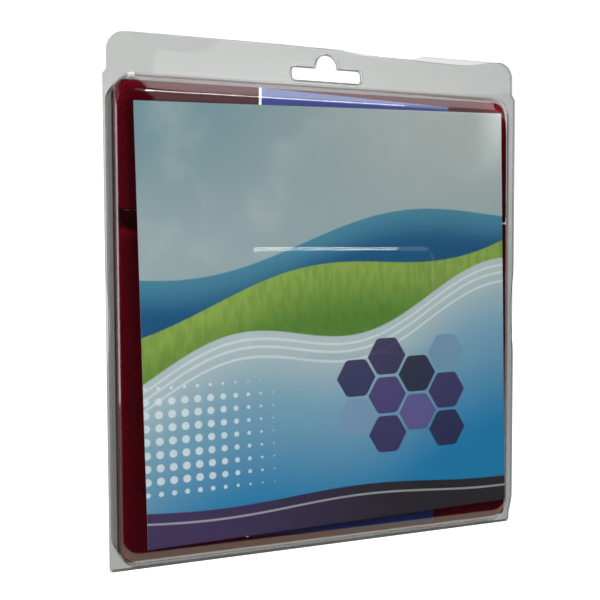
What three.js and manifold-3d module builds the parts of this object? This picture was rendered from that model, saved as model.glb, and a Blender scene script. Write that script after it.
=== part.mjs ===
// Retail pack of an evaporative cooling wallet for insulin: a clear hinged clamshell with a printed
// card and a folded leaflet, and the fabric wallet whose quilted pouch holds the cooling crystals.
// Millimetres, +Z up. The front faces -Y, and the origin lies on the floor under the pack's middle.
import * as THREE from 'three';
import { mergeVertices } from 'three/addons/utils/BufferGeometryUtils.js';
import Module from 'manifold-3d';

const wasm = await Module();
wasm.setup();

// Fits
const FIT_GAP = 0.3; // between pieces that lie against each other
const SEAM_GAP = 0.3; // between the two closed flanges
const CUT_PAST = 2; // how far a cutter reaches past the face it opens

// Clamshell
const SHEET = 0.5; // formed PET sheet
const TRAY_WIDTH = 175.8; // outside of both trays where they leave the flange
const TRAY_HEIGHT = 190.7; // from the fold to the top wall of the trays
const TRAY_CORNER = 8; // corner radius seen from the front
const SIDE_FLANGE = 3.1; // flat flange beside the trays
const HEADER_HEIGHT = 14.9; // flat header above the trays
const HEADER_INSET = 1.5; // the header is this much narrower on each side
const HEADER_CORNER = 7;
const SHOULDER_RADIUS = 1.4; // where the flange steps in to the header

// Front shell
const FRONT_DEPTH = 3.3; // window in front of the parting plane
const FRONT_FOOT = 1.1; // the front tray starts this far above the flange's lower edge
const FRONT_EDGE_SIDE = 1.2; // run of the rounded edge at the sides
const FRONT_EDGE_TOP = 7;
const FRONT_EDGE_BOTTOM = 5;
const PANEL_WIDTH = 86; // plain raised stiffening panel in the window
const PANEL_HEIGHT = 46;
const PANEL_X = 6;
const PANEL_Z = 102;
const PANEL_RAISE = 0.4;
const PANEL_EDGE = 2.2; // run of its sloping edge
const PANEL_CORNER = 6;
const NOTCH_LENGTH = 40; // finger notch in each side of the front flange
const NOTCH_DEPTH = 1.4;
const NOTCH_Z = 96;

// Rear shell
const REAR_DRAFT = 0.4; // how far the walls lean in over their depth
const REAR_EDGE = 2.2; // rounded back edge

// Hang slot
const SLOT_WIDTH = 31;
const SLOT_HEIGHT = 5.2; // straight part
const SLOT_FOOT = 1.3; // above the tray's top wall
const SLOT_CORNER = 1.6;
const SLOT_BUMP_RADIUS = 4.8; // round rise that takes the hook
const SLOT_BUMP_RISE = 0.8; // centre of that rise above the straight part
const SLOT_RIM_WIDTH = 1;
const SLOT_RIM_RAISE = 0.4;

// Living hinge
const HINGE_RADIUS = 0.4; // rolled bead that the sheet folds on
const HINGE_END_INSET = 1; // short of the flange's corners
const HINGE_SIDES = 12;

// Card and leaflet
const CARD_THICKNESS = 0.35;
const CARD_PLAY_SIDE = 8.6; // free width that the card leaves in the window
const CARD_PLAY_HEIGHT = 1.2;
const CARD_EDGE_CLEARANCE = 1.9; // at the side that the card has slid to
const CARD_SKEW = 1.15; // degrees
const CARD_CORNER = 0.8;
const LEAFLET_WIDTH = 86;
const LEAFLET_PLAY_HEIGHT = 2.6; // free height that it leaves in the tray
const LEAFLET_X = 10;
const LEAFLET_SKEW = 2.2; // degrees
const LEAFLET_PAPER = 0.2;
const LEAFLET_FOLD_GAP = 0.15; // between its folded layers
const LEAFLET_LAYERS = 3;

// Wallet cover
const FLAP_THICKNESS = 1.3;
const TAPE_THICKNESS = 0.6; // hook and loop tapes
const COVER_THICKNESS = 1.2;
const COVER_EDGE = 5; // rounded edges all round
const COVER_CORNER = 7;
const COVER_HEADROOM = 1.1; // free height above the cover in the rear tray
const BINDING_THICKNESS = 0.8;
const BINDING_WIDTH = 7;
const BINDING_END_INSET = 9; // short of the cover's top and bottom
const FLAP_LENGTH = 46.5; // from its crease to its lower edge
const FLAP_SIDE_RETURN = 1.8; // how far its sides turn back past its inner face
const FLAP_BINDING_HEIGHT = 1.6;
const POCKET_SLOPE = 6.4; // height over which the pocket front swells below the flap
const MOUTH_DROP = 2.3; // pocket's mouth below the flap's crease
const MOUTH_BINDING_HEIGHT = 1.6;
const MOUTH_BINDING_INSET = 3;
const TAPE_WIDTH = 110;
const TAPE_HEIGHT = 20;
const TAPE_EDGE_INSET = 4; // above the flap's lower edge
const TAPE_CORNER = 1;

// Crystal pouch
const POUCH_PLY = 0.6; // outer cloth
const LINING_PLY = 0.4;
const CRYSTAL_DEPTH = 1.2; // dry crystals in a channel
const POUCH_SPACE = 8.7; // room for pens and vials, packed flat
const POUCH_BINDING = 1.5;
const POUCH_CORNER = 4;
const POUCH_MOUTH_DROP = 6; // pouch mouth below the cover's mouth
const CHANNELS = 4; // sewn channels on each side
const CHANNEL_SEAM = 3; // stitched strip between channels
const CHANNEL_MARGIN = 5; // plain cloth around the channels
const CHANNEL_EDGE = 3;
const CHANNEL_CORNER = 6;

// Facets
const CORNER_STEPS = 6;
const EDGE_STEPS = 5;

// Depths, from the parting plane between the two flanges
const seamHalf = SEAM_GAP / 2;
const flangeOuter = seamHalf + SHEET;
const windowInner = -(FRONT_DEPTH - SHEET);
const cardFront = windowInner + FIT_GAP;
const cardBack = cardFront + CARD_THICKNESS;
const leafletDepth = LEAFLET_LAYERS * LEAFLET_PAPER + (LEAFLET_LAYERS - 1) * LEAFLET_FOLD_GAP;
const leafletFront = cardBack + FIT_GAP;
const coverFront = leafletFront + leafletDepth + FIT_GAP;
const flapInner = coverFront + FLAP_THICKNESS;
const hookFront = flapInner + FIT_GAP;
const loopFront = hookFront + TAPE_THICKNESS + FIT_GAP;
const pocketFace = loopFront + TAPE_THICKNESS + FIT_GAP;
const pocketInner = pocketFace + COVER_THICKNESS;
const pouchFront = pocketInner + FIT_GAP;
const frontCrystal = pouchFront + POUCH_PLY + FIT_GAP;
const frontLining = frontCrystal + CRYSTAL_DEPTH + FIT_GAP;
const backLining = frontLining + LINING_PLY + POUCH_SPACE;
const backCrystal = backLining + LINING_PLY + FIT_GAP;
const pouchBackFace = backCrystal + CRYSTAL_DEPTH + FIT_GAP;
const pouchBack = pouchBackFace + POUCH_PLY;
const coverBackInner = pouchBack + FIT_GAP;
const coverBack = coverBackInner + COVER_THICKNESS;
const rearDepth = coverBack + FIT_GAP + SHEET;
const coverSeam = (pocketInner + coverBackInner) / 2;

// Outlines, seen from the front
const trayHalf = TRAY_WIDTH / 2;
const flangeHalf = trayHalf + SIDE_FLANGE;
const headerHalf = flangeHalf - HEADER_INSET;
const packTop = TRAY_HEIGHT + HEADER_HEIGHT;
const frontFlangeBottom = 2 * HINGE_RADIUS + FIT_GAP;
const frontTrayBottom = frontFlangeBottom + FRONT_FOOT;
const coverHalf = trayHalf - SHEET - REAR_DRAFT - 2 * FIT_GAP - BINDING_THICKNESS;
const coverBottom = SHEET + FIT_GAP;
const coverTop = TRAY_HEIGHT - REAR_DRAFT - SHEET - COVER_HEADROOM;
const crease = coverTop - COVER_EDGE;
const flapBottom = crease - FLAP_LENGTH;
const mouthTop = crease - MOUTH_DROP;
const pouchHalf = coverHalf - COVER_EDGE - FIT_GAP - POUCH_BINDING;
const pouchBottom = coverBottom + COVER_EDGE + FIT_GAP + POUCH_BINDING;
const pouchTop = mouthTop - POUCH_MOUTH_DROP;

const PET = { color: 0xc9cecd, roughness: 0.08, metalness: 0, transparent: true, opacity: 0.35 };
const CARD_PRINT = { color: 0x3f86a3, roughness: 0.45, metalness: 0 };
const LEAFLET_PRINT = { color: 0x2f4897, roughness: 0.6, metalness: 0 };
const COVER_CLOTH = { color: 0x5e0a1c, roughness: 0.9, metalness: 0 };
const BINDING_CLOTH = { color: 0x4a0716, roughness: 0.85, metalness: 0 };
const TAPE_NYLON = { color: 0x2a0a10, roughness: 0.95, metalness: 0 };
const POUCH_CLOTH = { color: 0x1d1c20, roughness: 0.9, metalness: 0 };
const LINING_CLOTH = { color: 0x2b2a2e, roughness: 0.9, metalness: 0 };
const CRYSTALS = { color: 0xe9edf0, roughness: 0.5, metalness: 0 };

const pack = new THREE.Group();
pack.position.y = -(rearDepth - FRONT_DEPTH - PANEL_RAISE) / 2;

function addPart(name, geometry, finish, carrier = pack) {
  geometry.computeVertexNormals();
  const mesh = new THREE.Mesh(geometry, new THREE.MeshStandardMaterial(finish));
  mesh.name = name;
  carrier.add(mesh);
}

// Solids and booleans

function toSolid(geometry) {
  const bare = new THREE.BufferGeometry();
  bare.setAttribute('position', geometry.getAttribute('position').clone());
  bare.setIndex(geometry.index ? geometry.index.clone() : null);
  const welded = mergeVertices(bare, 1e-4);
  const vertProperties = new Float32Array(welded.getAttribute('position').array);
  const triVerts = new Uint32Array(welded.index.array);
  return new wasm.Manifold(new wasm.Mesh({ numProp: 3, vertProperties, triVerts }));
}

function toGeometry(solid) {
  const mesh = solid.getMesh();
  const geometry = new THREE.BufferGeometry();
  geometry.setAttribute('position', new THREE.BufferAttribute(new Float32Array(mesh.vertProperties), 3));
  geometry.setIndex(new THREE.BufferAttribute(new Uint32Array(mesh.triVerts), 1));
  return geometry;
}

function box(x0, x1, y0, y1, z0, z1) {
  const geometry = new THREE.BoxGeometry(x1 - x0, y1 - y0, z1 - z0);
  return geometry.translate((x0 + x1) / 2, (y0 + y1) / 2, (z0 + z1) / 2);
}

// A shape drawn in X and Z, given depth from yFront back to yBack
function plate(shape, yFront, yBack) {
  const geometry = new THREE.ExtrudeGeometry(shape, {
    depth: yBack - yFront,
    bevelEnabled: false,
    curveSegments: CORNER_STEPS,
  });
  return geometry.rotateX(Math.PI / 2).translate(0, yBack, 0);
}

// A profile drawn in Y and Z, run along X between -half and half
function run(shape, half) {
  const geometry = new THREE.ExtrudeGeometry(shape, { depth: 2 * half, bevelEnabled: false });
  const upright = new THREE.Matrix4().makeBasis(
    new THREE.Vector3(0, 1, 0),
    new THREE.Vector3(0, 0, 1),
    new THREE.Vector3(1, 0, 0),
  );
  return geometry.applyMatrix4(upright).translate(-half, 0, 0);
}

// Points of a rectangle with round corners, going round anticlockwise from the lower right
function roundedOutline({ half, bottom, top, corner, x = 0 }) {
  const centres = [
    [x + half - corner, bottom + corner, -90],
    [x + half - corner, top - corner, 0],
    [x - half + corner, top - corner, 90],
    [x - half + corner, bottom + corner, 180],
  ];
  const steps = Array.from({ length: CORNER_STEPS + 1 }, (_, i) => (90 * i) / CORNER_STEPS);
  return centres.flatMap(([cx, cz, start]) => steps.map((step) => {
    const angle = THREE.MathUtils.degToRad(start + step);
    return [cx + corner * Math.cos(angle), cz + corner * Math.sin(angle)];
  }));
}

function roundedShape(frame) {
  return new THREE.Shape(roundedOutline(frame).map(([x, z]) => new THREE.Vector2(x, z)));
}

// A closed body through one outline after another from front to back, with flat ends
function loft(levels) {
  const rings = levels.map((level) => roundedOutline(level).map(([x, z]) => [x, level.y, z]));
  const count = rings[0].length;
  const faces = [];
  for (let i = 0; i < rings.length - 1; i += 1) {
    for (let j = 0; j < count; j += 1) {
      const k = (j + 1) % count;
      const [a, b] = [i * count + j, i * count + k];
      faces.push(a, b, b + count, a, b + count, a + count);
    }
  }
  const last = (rings.length - 1) * count;
  for (let j = 1; j < count - 1; j += 1) {
    faces.push(0, j + 1, j, last, last + j, last + j + 1);
  }
  const geometry = new THREE.BufferGeometry();
  geometry.setAttribute('position', new THREE.Float32BufferAttribute(rings.flat(2), 3));
  geometry.setIndex(faces.flatMap((_, i) => (i % 3 ? [] : [faces[i], faces[i + 2], faces[i + 1]])));
  return geometry;
}

// A level of a rounded edge: turn 0 is the wall, turn 1 the flat face that the edge runs into
function edgeLevel(frame, turn, yWall, yFace, runs) {
  const angle = (turn * Math.PI) / 2;
  const inset = 1 - Math.cos(angle);
  return {
    x: frame.x,
    y: yWall + (yFace - yWall) * Math.sin(angle),
    half: frame.half - runs.side * inset,
    bottom: frame.bottom + runs.bottom * inset,
    top: frame.top - runs.top * inset,
    corner: Math.max(frame.corner - Math.min(runs.side, runs.bottom) * inset, SHEET),
  };
}

function roundedEdge(frame, yWall, yFace, runs) {
  const turns = Array.from({ length: EDGE_STEPS + 1 }, (_, i) => i / EDGE_STEPS);
  return turns.map((turn) => edgeLevel(frame, turn, yWall, yFace, runs));
}

function evenRuns(length) {
  return { side: length, bottom: length, top: length };
}

function insetFrame(frame, by) {
  return {
    x: frame.x,
    half: frame.half - by,
    bottom: frame.bottom + by,
    top: frame.top - by,
    corner: frame.corner - by,
  };
}

// Clamshell

// Die-cut edge of a shell: straight flange, shoulders, and the header with its round corners
function flangeShape(bottom, notched) {
  const shoulder = TRAY_HEIGHT;
  const cornerX = headerHalf - HEADER_CORNER;
  const cornerZ = packTop - HEADER_CORNER;
  const notchEdge = flangeHalf - 2 * NOTCH_DEPTH;
  const shape = new THREE.Shape();
  shape.moveTo(-flangeHalf, bottom);
  shape.lineTo(flangeHalf, bottom);
  if (notched) {
    shape.lineTo(flangeHalf, NOTCH_Z - NOTCH_LENGTH / 2);
    shape.quadraticCurveTo(notchEdge, NOTCH_Z, flangeHalf, NOTCH_Z + NOTCH_LENGTH / 2);
  }
  shape.lineTo(flangeHalf, shoulder - SHOULDER_RADIUS);
  shape.quadraticCurveTo(flangeHalf, shoulder, headerHalf, shoulder + SHOULDER_RADIUS);
  shape.lineTo(headerHalf, packTop - HEADER_CORNER);
  shape.absarc(cornerX, cornerZ, HEADER_CORNER, 0, Math.PI / 2, false);
  shape.absarc(-cornerX, cornerZ, HEADER_CORNER, Math.PI / 2, Math.PI, false);
  shape.lineTo(-headerHalf, shoulder + SHOULDER_RADIUS);
  shape.quadraticCurveTo(-flangeHalf, shoulder, -flangeHalf, shoulder - SHOULDER_RADIUS);
  if (notched) {
    shape.lineTo(-flangeHalf, NOTCH_Z + NOTCH_LENGTH / 2);
    shape.quadraticCurveTo(-notchEdge, NOTCH_Z, -flangeHalf, NOTCH_Z - NOTCH_LENGTH / 2);
  }
  shape.closePath();
  return shape;
}

// Hang slot with its round rise, grown outwards by a margin for the rim
function slotShape(margin) {
  const half = SLOT_WIDTH / 2 + margin;
  const bottom = TRAY_HEIGHT + SLOT_FOOT - margin;
  const top = TRAY_HEIGHT + SLOT_FOOT + SLOT_HEIGHT + margin;
  const corner = SLOT_CORNER + margin;
  const bumpZ = TRAY_HEIGHT + SLOT_FOOT + SLOT_HEIGHT + SLOT_BUMP_RISE;
  const bump = SLOT_BUMP_RADIUS + margin;
  const reach = Math.acos((top - bumpZ) / bump);
  const shape = new THREE.Shape();
  shape.moveTo(-half + corner, bottom);
  shape.absarc(half - corner, bottom + corner, corner, -Math.PI / 2, 0, false);
  shape.absarc(half - corner, top - corner, corner, 0, Math.PI / 2, false);
  shape.absarc(0, bumpZ, bump, Math.PI / 2 - reach, Math.PI / 2 + reach, false);
  shape.absarc(-half + corner, top - corner, corner, Math.PI / 2, Math.PI, false);
  shape.absarc(-half + corner, bottom + corner, corner, Math.PI, 1.5 * Math.PI, false);
  shape.closePath();
  return shape;
}

const frontTray = { half: trayHalf, bottom: frontTrayBottom, top: TRAY_HEIGHT, corner: TRAY_CORNER };
const frontRuns = { side: FRONT_EDGE_SIDE, bottom: FRONT_EDGE_BOTTOM, top: FRONT_EDGE_TOP };
const frontInnerRuns = {
  side: FRONT_EDGE_SIDE - SHEET,
  bottom: FRONT_EDGE_BOTTOM - SHEET,
  top: FRONT_EDGE_TOP - SHEET,
};
const panelFrame = {
  x: PANEL_X,
  half: PANEL_WIDTH / 2,
  bottom: PANEL_Z - PANEL_HEIGHT / 2,
  top: PANEL_Z + PANEL_HEIGHT / 2,
  corner: PANEL_CORNER,
};

function frontTrayForm(frame, runs, yBack, yWall, yFace) {
  return toSolid(loft([{ ...frame, y: yBack }, ...roundedEdge(frame, yWall, yFace, runs)].reverse()));
}

function panelForm(frame, yBack, yFace) {
  return toSolid(loft([
    { ...insetFrame(frame, PANEL_EDGE), y: yFace },
    { ...frame, y: yFace + PANEL_RAISE },
    { ...frame, y: yBack },
  ]));
}

function buildFrontShell() {
  const flange = toSolid(plate(flangeShape(frontFlangeBottom, true), -flangeOuter, -seamHalf));
  const rim = toSolid(plate(slotShape(SLOT_RIM_WIDTH), -flangeOuter - SLOT_RIM_RAISE, -seamHalf));
  const slot = toSolid(plate(slotShape(0), -flangeOuter - CUT_PAST, CUT_PAST));
  const outer = frontTrayForm(frontTray, frontRuns, -seamHalf, -flangeOuter, -FRONT_DEPTH);
  const hollow = frontTrayForm(
    insetFrame(frontTray, SHEET),
    frontInnerRuns,
    CUT_PAST,
    -flangeOuter,
    windowInner,
  );
  const panel = panelForm(panelFrame, windowInner, -FRONT_DEPTH - PANEL_RAISE);
  const panelInside = insetFrame(panelFrame, SHEET);
  const panelHollow = panelForm(panelInside, windowInner + CUT_PAST, windowInner - PANEL_RAISE);
  const skin = flange.add(rim).add(outer).add(panel);
  return toGeometry(skin.subtract(hollow).subtract(panelHollow).subtract(slot));
}

const rearTray = { half: trayHalf, bottom: 0, top: TRAY_HEIGHT, corner: TRAY_CORNER };

// Tray that leans in over its depth on three sides, stands square on its bottom wall,
// and rounds into its back
function rearTrayForm(frame, yFront, yBack, edge) {
  const lean = {
    half: frame.half - REAR_DRAFT,
    bottom: frame.bottom,
    top: frame.top - REAR_DRAFT,
    corner: frame.corner,
  };
  return toSolid(loft([
    { ...frame, y: yFront },
    ...roundedEdge(lean, yBack - edge, yBack, evenRuns(edge)),
  ]));
}

function buildRearShell() {
  const flange = toSolid(plate(flangeShape(0, false), seamHalf, flangeOuter));
  const rim = toSolid(plate(slotShape(SLOT_RIM_WIDTH), seamHalf, flangeOuter + SLOT_RIM_RAISE));
  const slot = toSolid(plate(slotShape(0), -CUT_PAST, flangeOuter + CUT_PAST));
  const outer = rearTrayForm(rearTray, seamHalf, rearDepth, REAR_EDGE);
  const mouth = insetFrame(rearTray, SHEET);
  const hollow = rearTrayForm(mouth, seamHalf, rearDepth - SHEET, REAR_EDGE - SHEET);
  const opening = toSolid(plate(roundedShape(mouth), -CUT_PAST, seamHalf + SHEET / 2));
  return toGeometry(flange.add(rim).add(outer).subtract(hollow.add(opening)).subtract(slot));
}

// Bead in front of the seam that the sheet folds on
function buildLivingHinge() {
  const length = 2 * (flangeHalf - HINGE_END_INSET);
  const geometry = new THREE.CylinderGeometry(HINGE_RADIUS, HINGE_RADIUS, length, HINGE_SIDES);
  return geometry.rotateZ(Math.PI / 2).translate(0, -seamHalf - HINGE_RADIUS, HINGE_RADIUS);
}

addPart('front_shell', buildFrontShell(), PET);
addPart('rear_shell', buildRearShell(), PET);
addPart('living_hinge', buildLivingHinge(), PET);

// Card and leaflet

// Sides of a sheet that lies askew in a space of the given width and height
function skewedSheet(width, height, degrees) {
  const angle = THREE.MathUtils.degToRad(degrees);
  const [c, s] = [Math.cos(angle), Math.sin(angle)];
  return [(width * c - height * s) / Math.cos(2 * angle), (height * c - width * s) / Math.cos(2 * angle)];
}

function addCard() {
  const windowHalf = trayHalf - FRONT_EDGE_SIDE;
  const windowBottom = frontTrayBottom + FRONT_EDGE_BOTTOM;
  const windowTop = TRAY_HEIGHT - FRONT_EDGE_TOP;
  const spanX = 2 * windowHalf - CARD_PLAY_SIDE;
  const spanZ = windowTop - windowBottom - CARD_PLAY_HEIGHT;
  const [width, height] = skewedSheet(spanX, spanZ, CARD_SKEW);
  const frame = { half: width / 2, bottom: -height / 2, top: height / 2, corner: CARD_CORNER };
  const seat = new THREE.Group();
  seat.position.set(windowHalf - CARD_EDGE_CLEARANCE - spanX / 2, 0, (windowTop + windowBottom) / 2);
  seat.rotation.y = THREE.MathUtils.degToRad(-CARD_SKEW);
  addPart('front_card', plate(roundedShape(frame), cardFront, cardBack), CARD_PRINT, seat);
  pack.add(seat);
}

// Folded paper: layers that turn back on themselves at alternate edges
function leafletProfile(width) {
  const pitch = LEAFLET_PAPER + LEAFLET_FOLD_GAP;
  const [left, right] = [-width / 2, width / 2];
  const printed = [];
  const plain = [];
  for (let layer = 0; layer < LEAFLET_LAYERS; layer += 1) {
    const front = layer * pitch;
    const back = front + LEAFLET_PAPER;
    const first = layer === 0;
    const last = layer === LEAFLET_LAYERS - 1;
    if (layer % 2 === 0) {
      printed.push([first ? left : left + LEAFLET_PAPER, front], [right, front]);
      plain.push([left, back], [last ? right : right - LEAFLET_PAPER, back]);
    } else {
      printed.push([right, back], [last ? left : left + LEAFLET_PAPER, back]);
      plain.push([right - LEAFLET_PAPER, front], [left, front]);
    }
  }
  return new THREE.Shape([...printed, ...plain.reverse()].map(([x, y]) => new THREE.Vector2(x, y)));
}

function addLeaflet() {
  const inside = edgeLevel(
    insetFrame(frontTray, SHEET),
    (2 / Math.PI) * Math.asin((-flangeOuter - leafletFront) / (-flangeOuter - windowInner)),
    -flangeOuter,
    windowInner,
    frontInnerRuns,
  );
  const angle = THREE.MathUtils.degToRad(LEAFLET_SKEW);
  const spanZ = inside.top - inside.bottom - LEAFLET_PLAY_HEIGHT;
  const height = (spanZ - LEAFLET_WIDTH * Math.sin(angle)) / Math.cos(angle);
  const profile = leafletProfile(LEAFLET_WIDTH);
  const geometry = new THREE.ExtrudeGeometry(profile, { depth: height, bevelEnabled: false });
  const seat = new THREE.Group();
  seat.position.set(LEAFLET_X, leafletFront, (inside.top + inside.bottom) / 2);
  seat.rotation.y = angle;
  addPart('instruction_leaflet', geometry.translate(0, 0, -height / 2), LEAFLET_PRINT, seat);
  pack.add(seat);
}

addCard();
addLeaflet();

// Wallet cover

const coverFrame = { half: coverHalf, bottom: coverBottom, top: coverTop, corner: COVER_CORNER };

// Cushion with rounded edges front and back
function coverForm(frame, yFront, yBack, edge) {
  const front = roundedEdge(frame, yFront + edge, yFront, evenRuns(edge)).reverse();
  const back = roundedEdge(frame, yBack - edge, yBack, evenRuns(edge));
  return toSolid(loft([...front, ...back]));
}

const wide = trayHalf;
const tall = packTop;
const coverOuter = coverForm(coverFrame, coverFront, coverBack, COVER_EDGE);
const coverInner = coverForm(
  insetFrame(coverFrame, COVER_THICKNESS),
  flapInner,
  coverBackInner,
  COVER_EDGE - COVER_THICKNESS,
);
const coverSkin = coverOuter.subtract(coverInner);

function buildBackPanel() {
  const behindSeam = toSolid(box(-wide, wide, coverSeam + FIT_GAP / 2, rearDepth, 0, tall));
  const overMouth = toSolid(box(-wide, wide, -FRONT_DEPTH, rearDepth, crease + FIT_GAP, tall));
  return toGeometry(coverSkin.intersect(behindSeam.add(overMouth)));
}

// Front of the pocket: flat where the flap lies on it, and swelling forward below the flap
function buildFrontPanel() {
  const slopeTop = flapBottom - FIT_GAP - FLAP_BINDING_HEIGHT - FIT_GAP;
  const slopeBottom = slopeTop - POCKET_SLOPE;
  const middle = (slopeTop + slopeBottom) / 2;
  const profile = new THREE.Shape();
  profile.moveTo(coverSeam - FIT_GAP / 2, 0);
  profile.lineTo(coverSeam - FIT_GAP / 2, mouthTop);
  profile.lineTo(pocketFace, mouthTop);
  profile.lineTo(pocketFace, slopeTop);
  profile.bezierCurveTo(pocketFace, middle, coverFront, middle, coverFront, slopeBottom);
  profile.lineTo(coverFront, 0);
  profile.closePath();
  const pocketHollow = coverInner.intersect(toSolid(box(-wide, wide, pocketInner, rearDepth, 0, tall)));
  return toGeometry(coverOuter.intersect(toSolid(run(profile, wide))).subtract(pocketHollow));
}

function buildFlap() {
  const zone = box(-wide, wide, -FRONT_DEPTH, flapInner + FLAP_SIDE_RETURN, flapBottom, crease);
  return toGeometry(coverSkin.intersect(toSolid(zone)));
}

// Half-round tape along the side seam
function buildSideBinding(side) {
  const inner = coverHalf + FIT_GAP;
  const bottom = coverBottom + BINDING_END_INSET;
  const top = crease - BINDING_END_INSET;
  const shape = new THREE.Shape();
  shape.moveTo(inner, coverSeam - BINDING_WIDTH / 2);
  shape.quadraticCurveTo(
    inner + 2 * BINDING_THICKNESS,
    coverSeam,
    inner,
    coverSeam + BINDING_WIDTH / 2,
  );
  shape.closePath();
  const geometry = new THREE.ExtrudeGeometry(shape, {
    depth: top - bottom,
    bevelEnabled: false,
    curveSegments: CORNER_STEPS,
  });
  geometry.translate(0, 0, bottom);
  return side > 0 ? geometry : geometry.rotateZ(Math.PI).translate(0, 2 * coverSeam, 0);
}

function buildTape(yFront) {
  const bottom = flapBottom + TAPE_EDGE_INSET;
  const frame = { half: TAPE_WIDTH / 2, bottom, top: bottom + TAPE_HEIGHT, corner: TAPE_CORNER };
  return plate(roundedShape(frame), yFront, yFront + TAPE_THICKNESS);
}

function buildFlapBinding() {
  const top = flapBottom - FIT_GAP;
  return box(
    -coverHalf + COVER_EDGE,
    coverHalf - COVER_EDGE,
    coverFront,
    flapInner,
    top - FLAP_BINDING_HEIGHT,
    top,
  );
}

function buildMouthBinding() {
  const half = coverHalf - COVER_EDGE - MOUTH_BINDING_INSET;
  const bottom = mouthTop + FIT_GAP;
  return box(-half, half, pocketFace, pocketInner, bottom, bottom + MOUTH_BINDING_HEIGHT);
}

addPart('cover_back_panel', buildBackPanel(), COVER_CLOTH);
addPart('cover_front_panel', buildFrontPanel(), COVER_CLOTH);
addPart('cover_flap', buildFlap(), COVER_CLOTH);
addPart('flap_binding', buildFlapBinding(), BINDING_CLOTH);
addPart('cover_binding_left', buildSideBinding(-1), BINDING_CLOTH);
addPart('cover_binding_right', buildSideBinding(1), BINDING_CLOTH);
addPart('mouth_binding', buildMouthBinding(), BINDING_CLOTH);
addPart('hook_strip', buildTape(hookFront), TAPE_NYLON);
addPart('loop_strip', buildTape(loopFront), TAPE_NYLON);

// Crystal pouch

const pouchFrame = { half: pouchHalf, bottom: pouchBottom, top: pouchTop, corner: POUCH_CORNER };

// Tape and gusset that close the pouch at its sides and bottom
function buildPouchBinding() {
  const inner = {
    half: pouchHalf + FIT_GAP,
    bottom: pouchBottom - FIT_GAP,
    top: pouchTop + CUT_PAST,
    corner: POUCH_CORNER,
  };
  const outer = insetFrame(inner, -POUCH_BINDING);
  const ring = toSolid(plate(roundedShape({ ...outer, top: pouchTop + CUT_PAST }), pouchFront, pouchBack));
  const space = toSolid(plate(roundedShape(inner), pouchFront - CUT_PAST, pouchBack + CUT_PAST));
  const below = toSolid(box(-wide, wide, 0, rearDepth, 0, pouchTop));
  return toGeometry(ring.intersect(below).subtract(space));
}

// One channel of crystals: a flat pillow between its two rows of stitching
function buildCrystalFill(row, yFront) {
  const field = insetFrame(pouchFrame, CHANNEL_MARGIN);
  const pitch = (field.top - field.bottom + CHANNEL_SEAM) / CHANNELS;
  const bottom = field.bottom + row * pitch;
  const frame = { half: field.half, bottom, top: bottom + pitch - CHANNEL_SEAM, corner: CHANNEL_CORNER };
  const tight = insetFrame(frame, CHANNEL_EDGE);
  return loft([
    { ...tight, y: yFront },
    { ...frame, y: yFront + CRYSTAL_DEPTH / 2 },
    { ...tight, y: yFront + CRYSTAL_DEPTH },
  ]);
}

function pouchPly(yFront, thickness) {
  return plate(roundedShape(pouchFrame), yFront, yFront + thickness);
}

addPart('pouch_front_panel', pouchPly(pouchFront, POUCH_PLY), POUCH_CLOTH);
addPart('pouch_lining_front', pouchPly(frontLining, LINING_PLY), LINING_CLOTH);
addPart('pouch_lining_back', pouchPly(backLining, LINING_PLY), LINING_CLOTH);
addPart('pouch_back_panel', pouchPly(pouchBackFace, POUCH_PLY), POUCH_CLOTH);
addPart('pouch_binding', buildPouchBinding(), POUCH_CLOTH);
for (let row = 0; row < CHANNELS; row += 1) {
  addPart(`crystal_fill_front_${row + 1}`, buildCrystalFill(row, frontCrystal), CRYSTALS);
  addPart(`crystal_fill_back_${row + 1}`, buildCrystalFill(row, backCrystal), CRYSTALS);
}

export default pack;
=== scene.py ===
"""Looks of an insulin cooling wallet in its clear hinged clamshell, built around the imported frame.

Shapes are worked out in millimetres, in the frame's own axes, and scaled to metres when a mesh is made.
"""

import math

import bpy
import numpy as np
from mathutils import Matrix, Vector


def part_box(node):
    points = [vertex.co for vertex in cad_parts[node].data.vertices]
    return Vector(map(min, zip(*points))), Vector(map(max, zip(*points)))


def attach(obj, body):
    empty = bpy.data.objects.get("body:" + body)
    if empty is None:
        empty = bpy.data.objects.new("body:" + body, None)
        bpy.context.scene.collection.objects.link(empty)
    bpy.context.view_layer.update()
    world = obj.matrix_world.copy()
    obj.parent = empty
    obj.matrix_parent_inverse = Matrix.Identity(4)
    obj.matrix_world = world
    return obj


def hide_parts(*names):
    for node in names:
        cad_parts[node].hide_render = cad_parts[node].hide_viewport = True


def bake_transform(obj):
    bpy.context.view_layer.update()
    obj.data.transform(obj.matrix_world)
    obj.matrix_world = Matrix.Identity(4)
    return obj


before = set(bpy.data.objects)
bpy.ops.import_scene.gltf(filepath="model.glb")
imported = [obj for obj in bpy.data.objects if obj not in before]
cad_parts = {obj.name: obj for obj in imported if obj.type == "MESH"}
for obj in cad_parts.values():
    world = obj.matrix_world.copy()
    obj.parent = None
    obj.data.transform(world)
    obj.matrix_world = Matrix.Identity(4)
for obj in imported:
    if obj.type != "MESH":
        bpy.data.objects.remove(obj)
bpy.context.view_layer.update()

MM = 0.001
X_AXIS, Y_AXIS, Z_AXIS = np.eye(3)
WHITE = (1.0, 1.0, 1.0, 1.0)
BLACK = (0.0, 0.0, 0.0, 1.0)


class Box:
    """A CAD node's box at rest, in millimetres."""

    def __init__(self, node):
        low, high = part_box(node)
        self.left, self.front, self.bottom = (value / MM for value in low)
        self.right, self.back, self.top = (value / MM for value in high)

    def middle(self):
        """Centre of the box."""
        return (self.left + self.right) / 2, (self.front + self.back) / 2, (self.bottom + self.top) / 2

    def size(self):
        """Width, depth and height of the box."""
        return self.right - self.left, self.back - self.front, self.top - self.bottom


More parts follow.
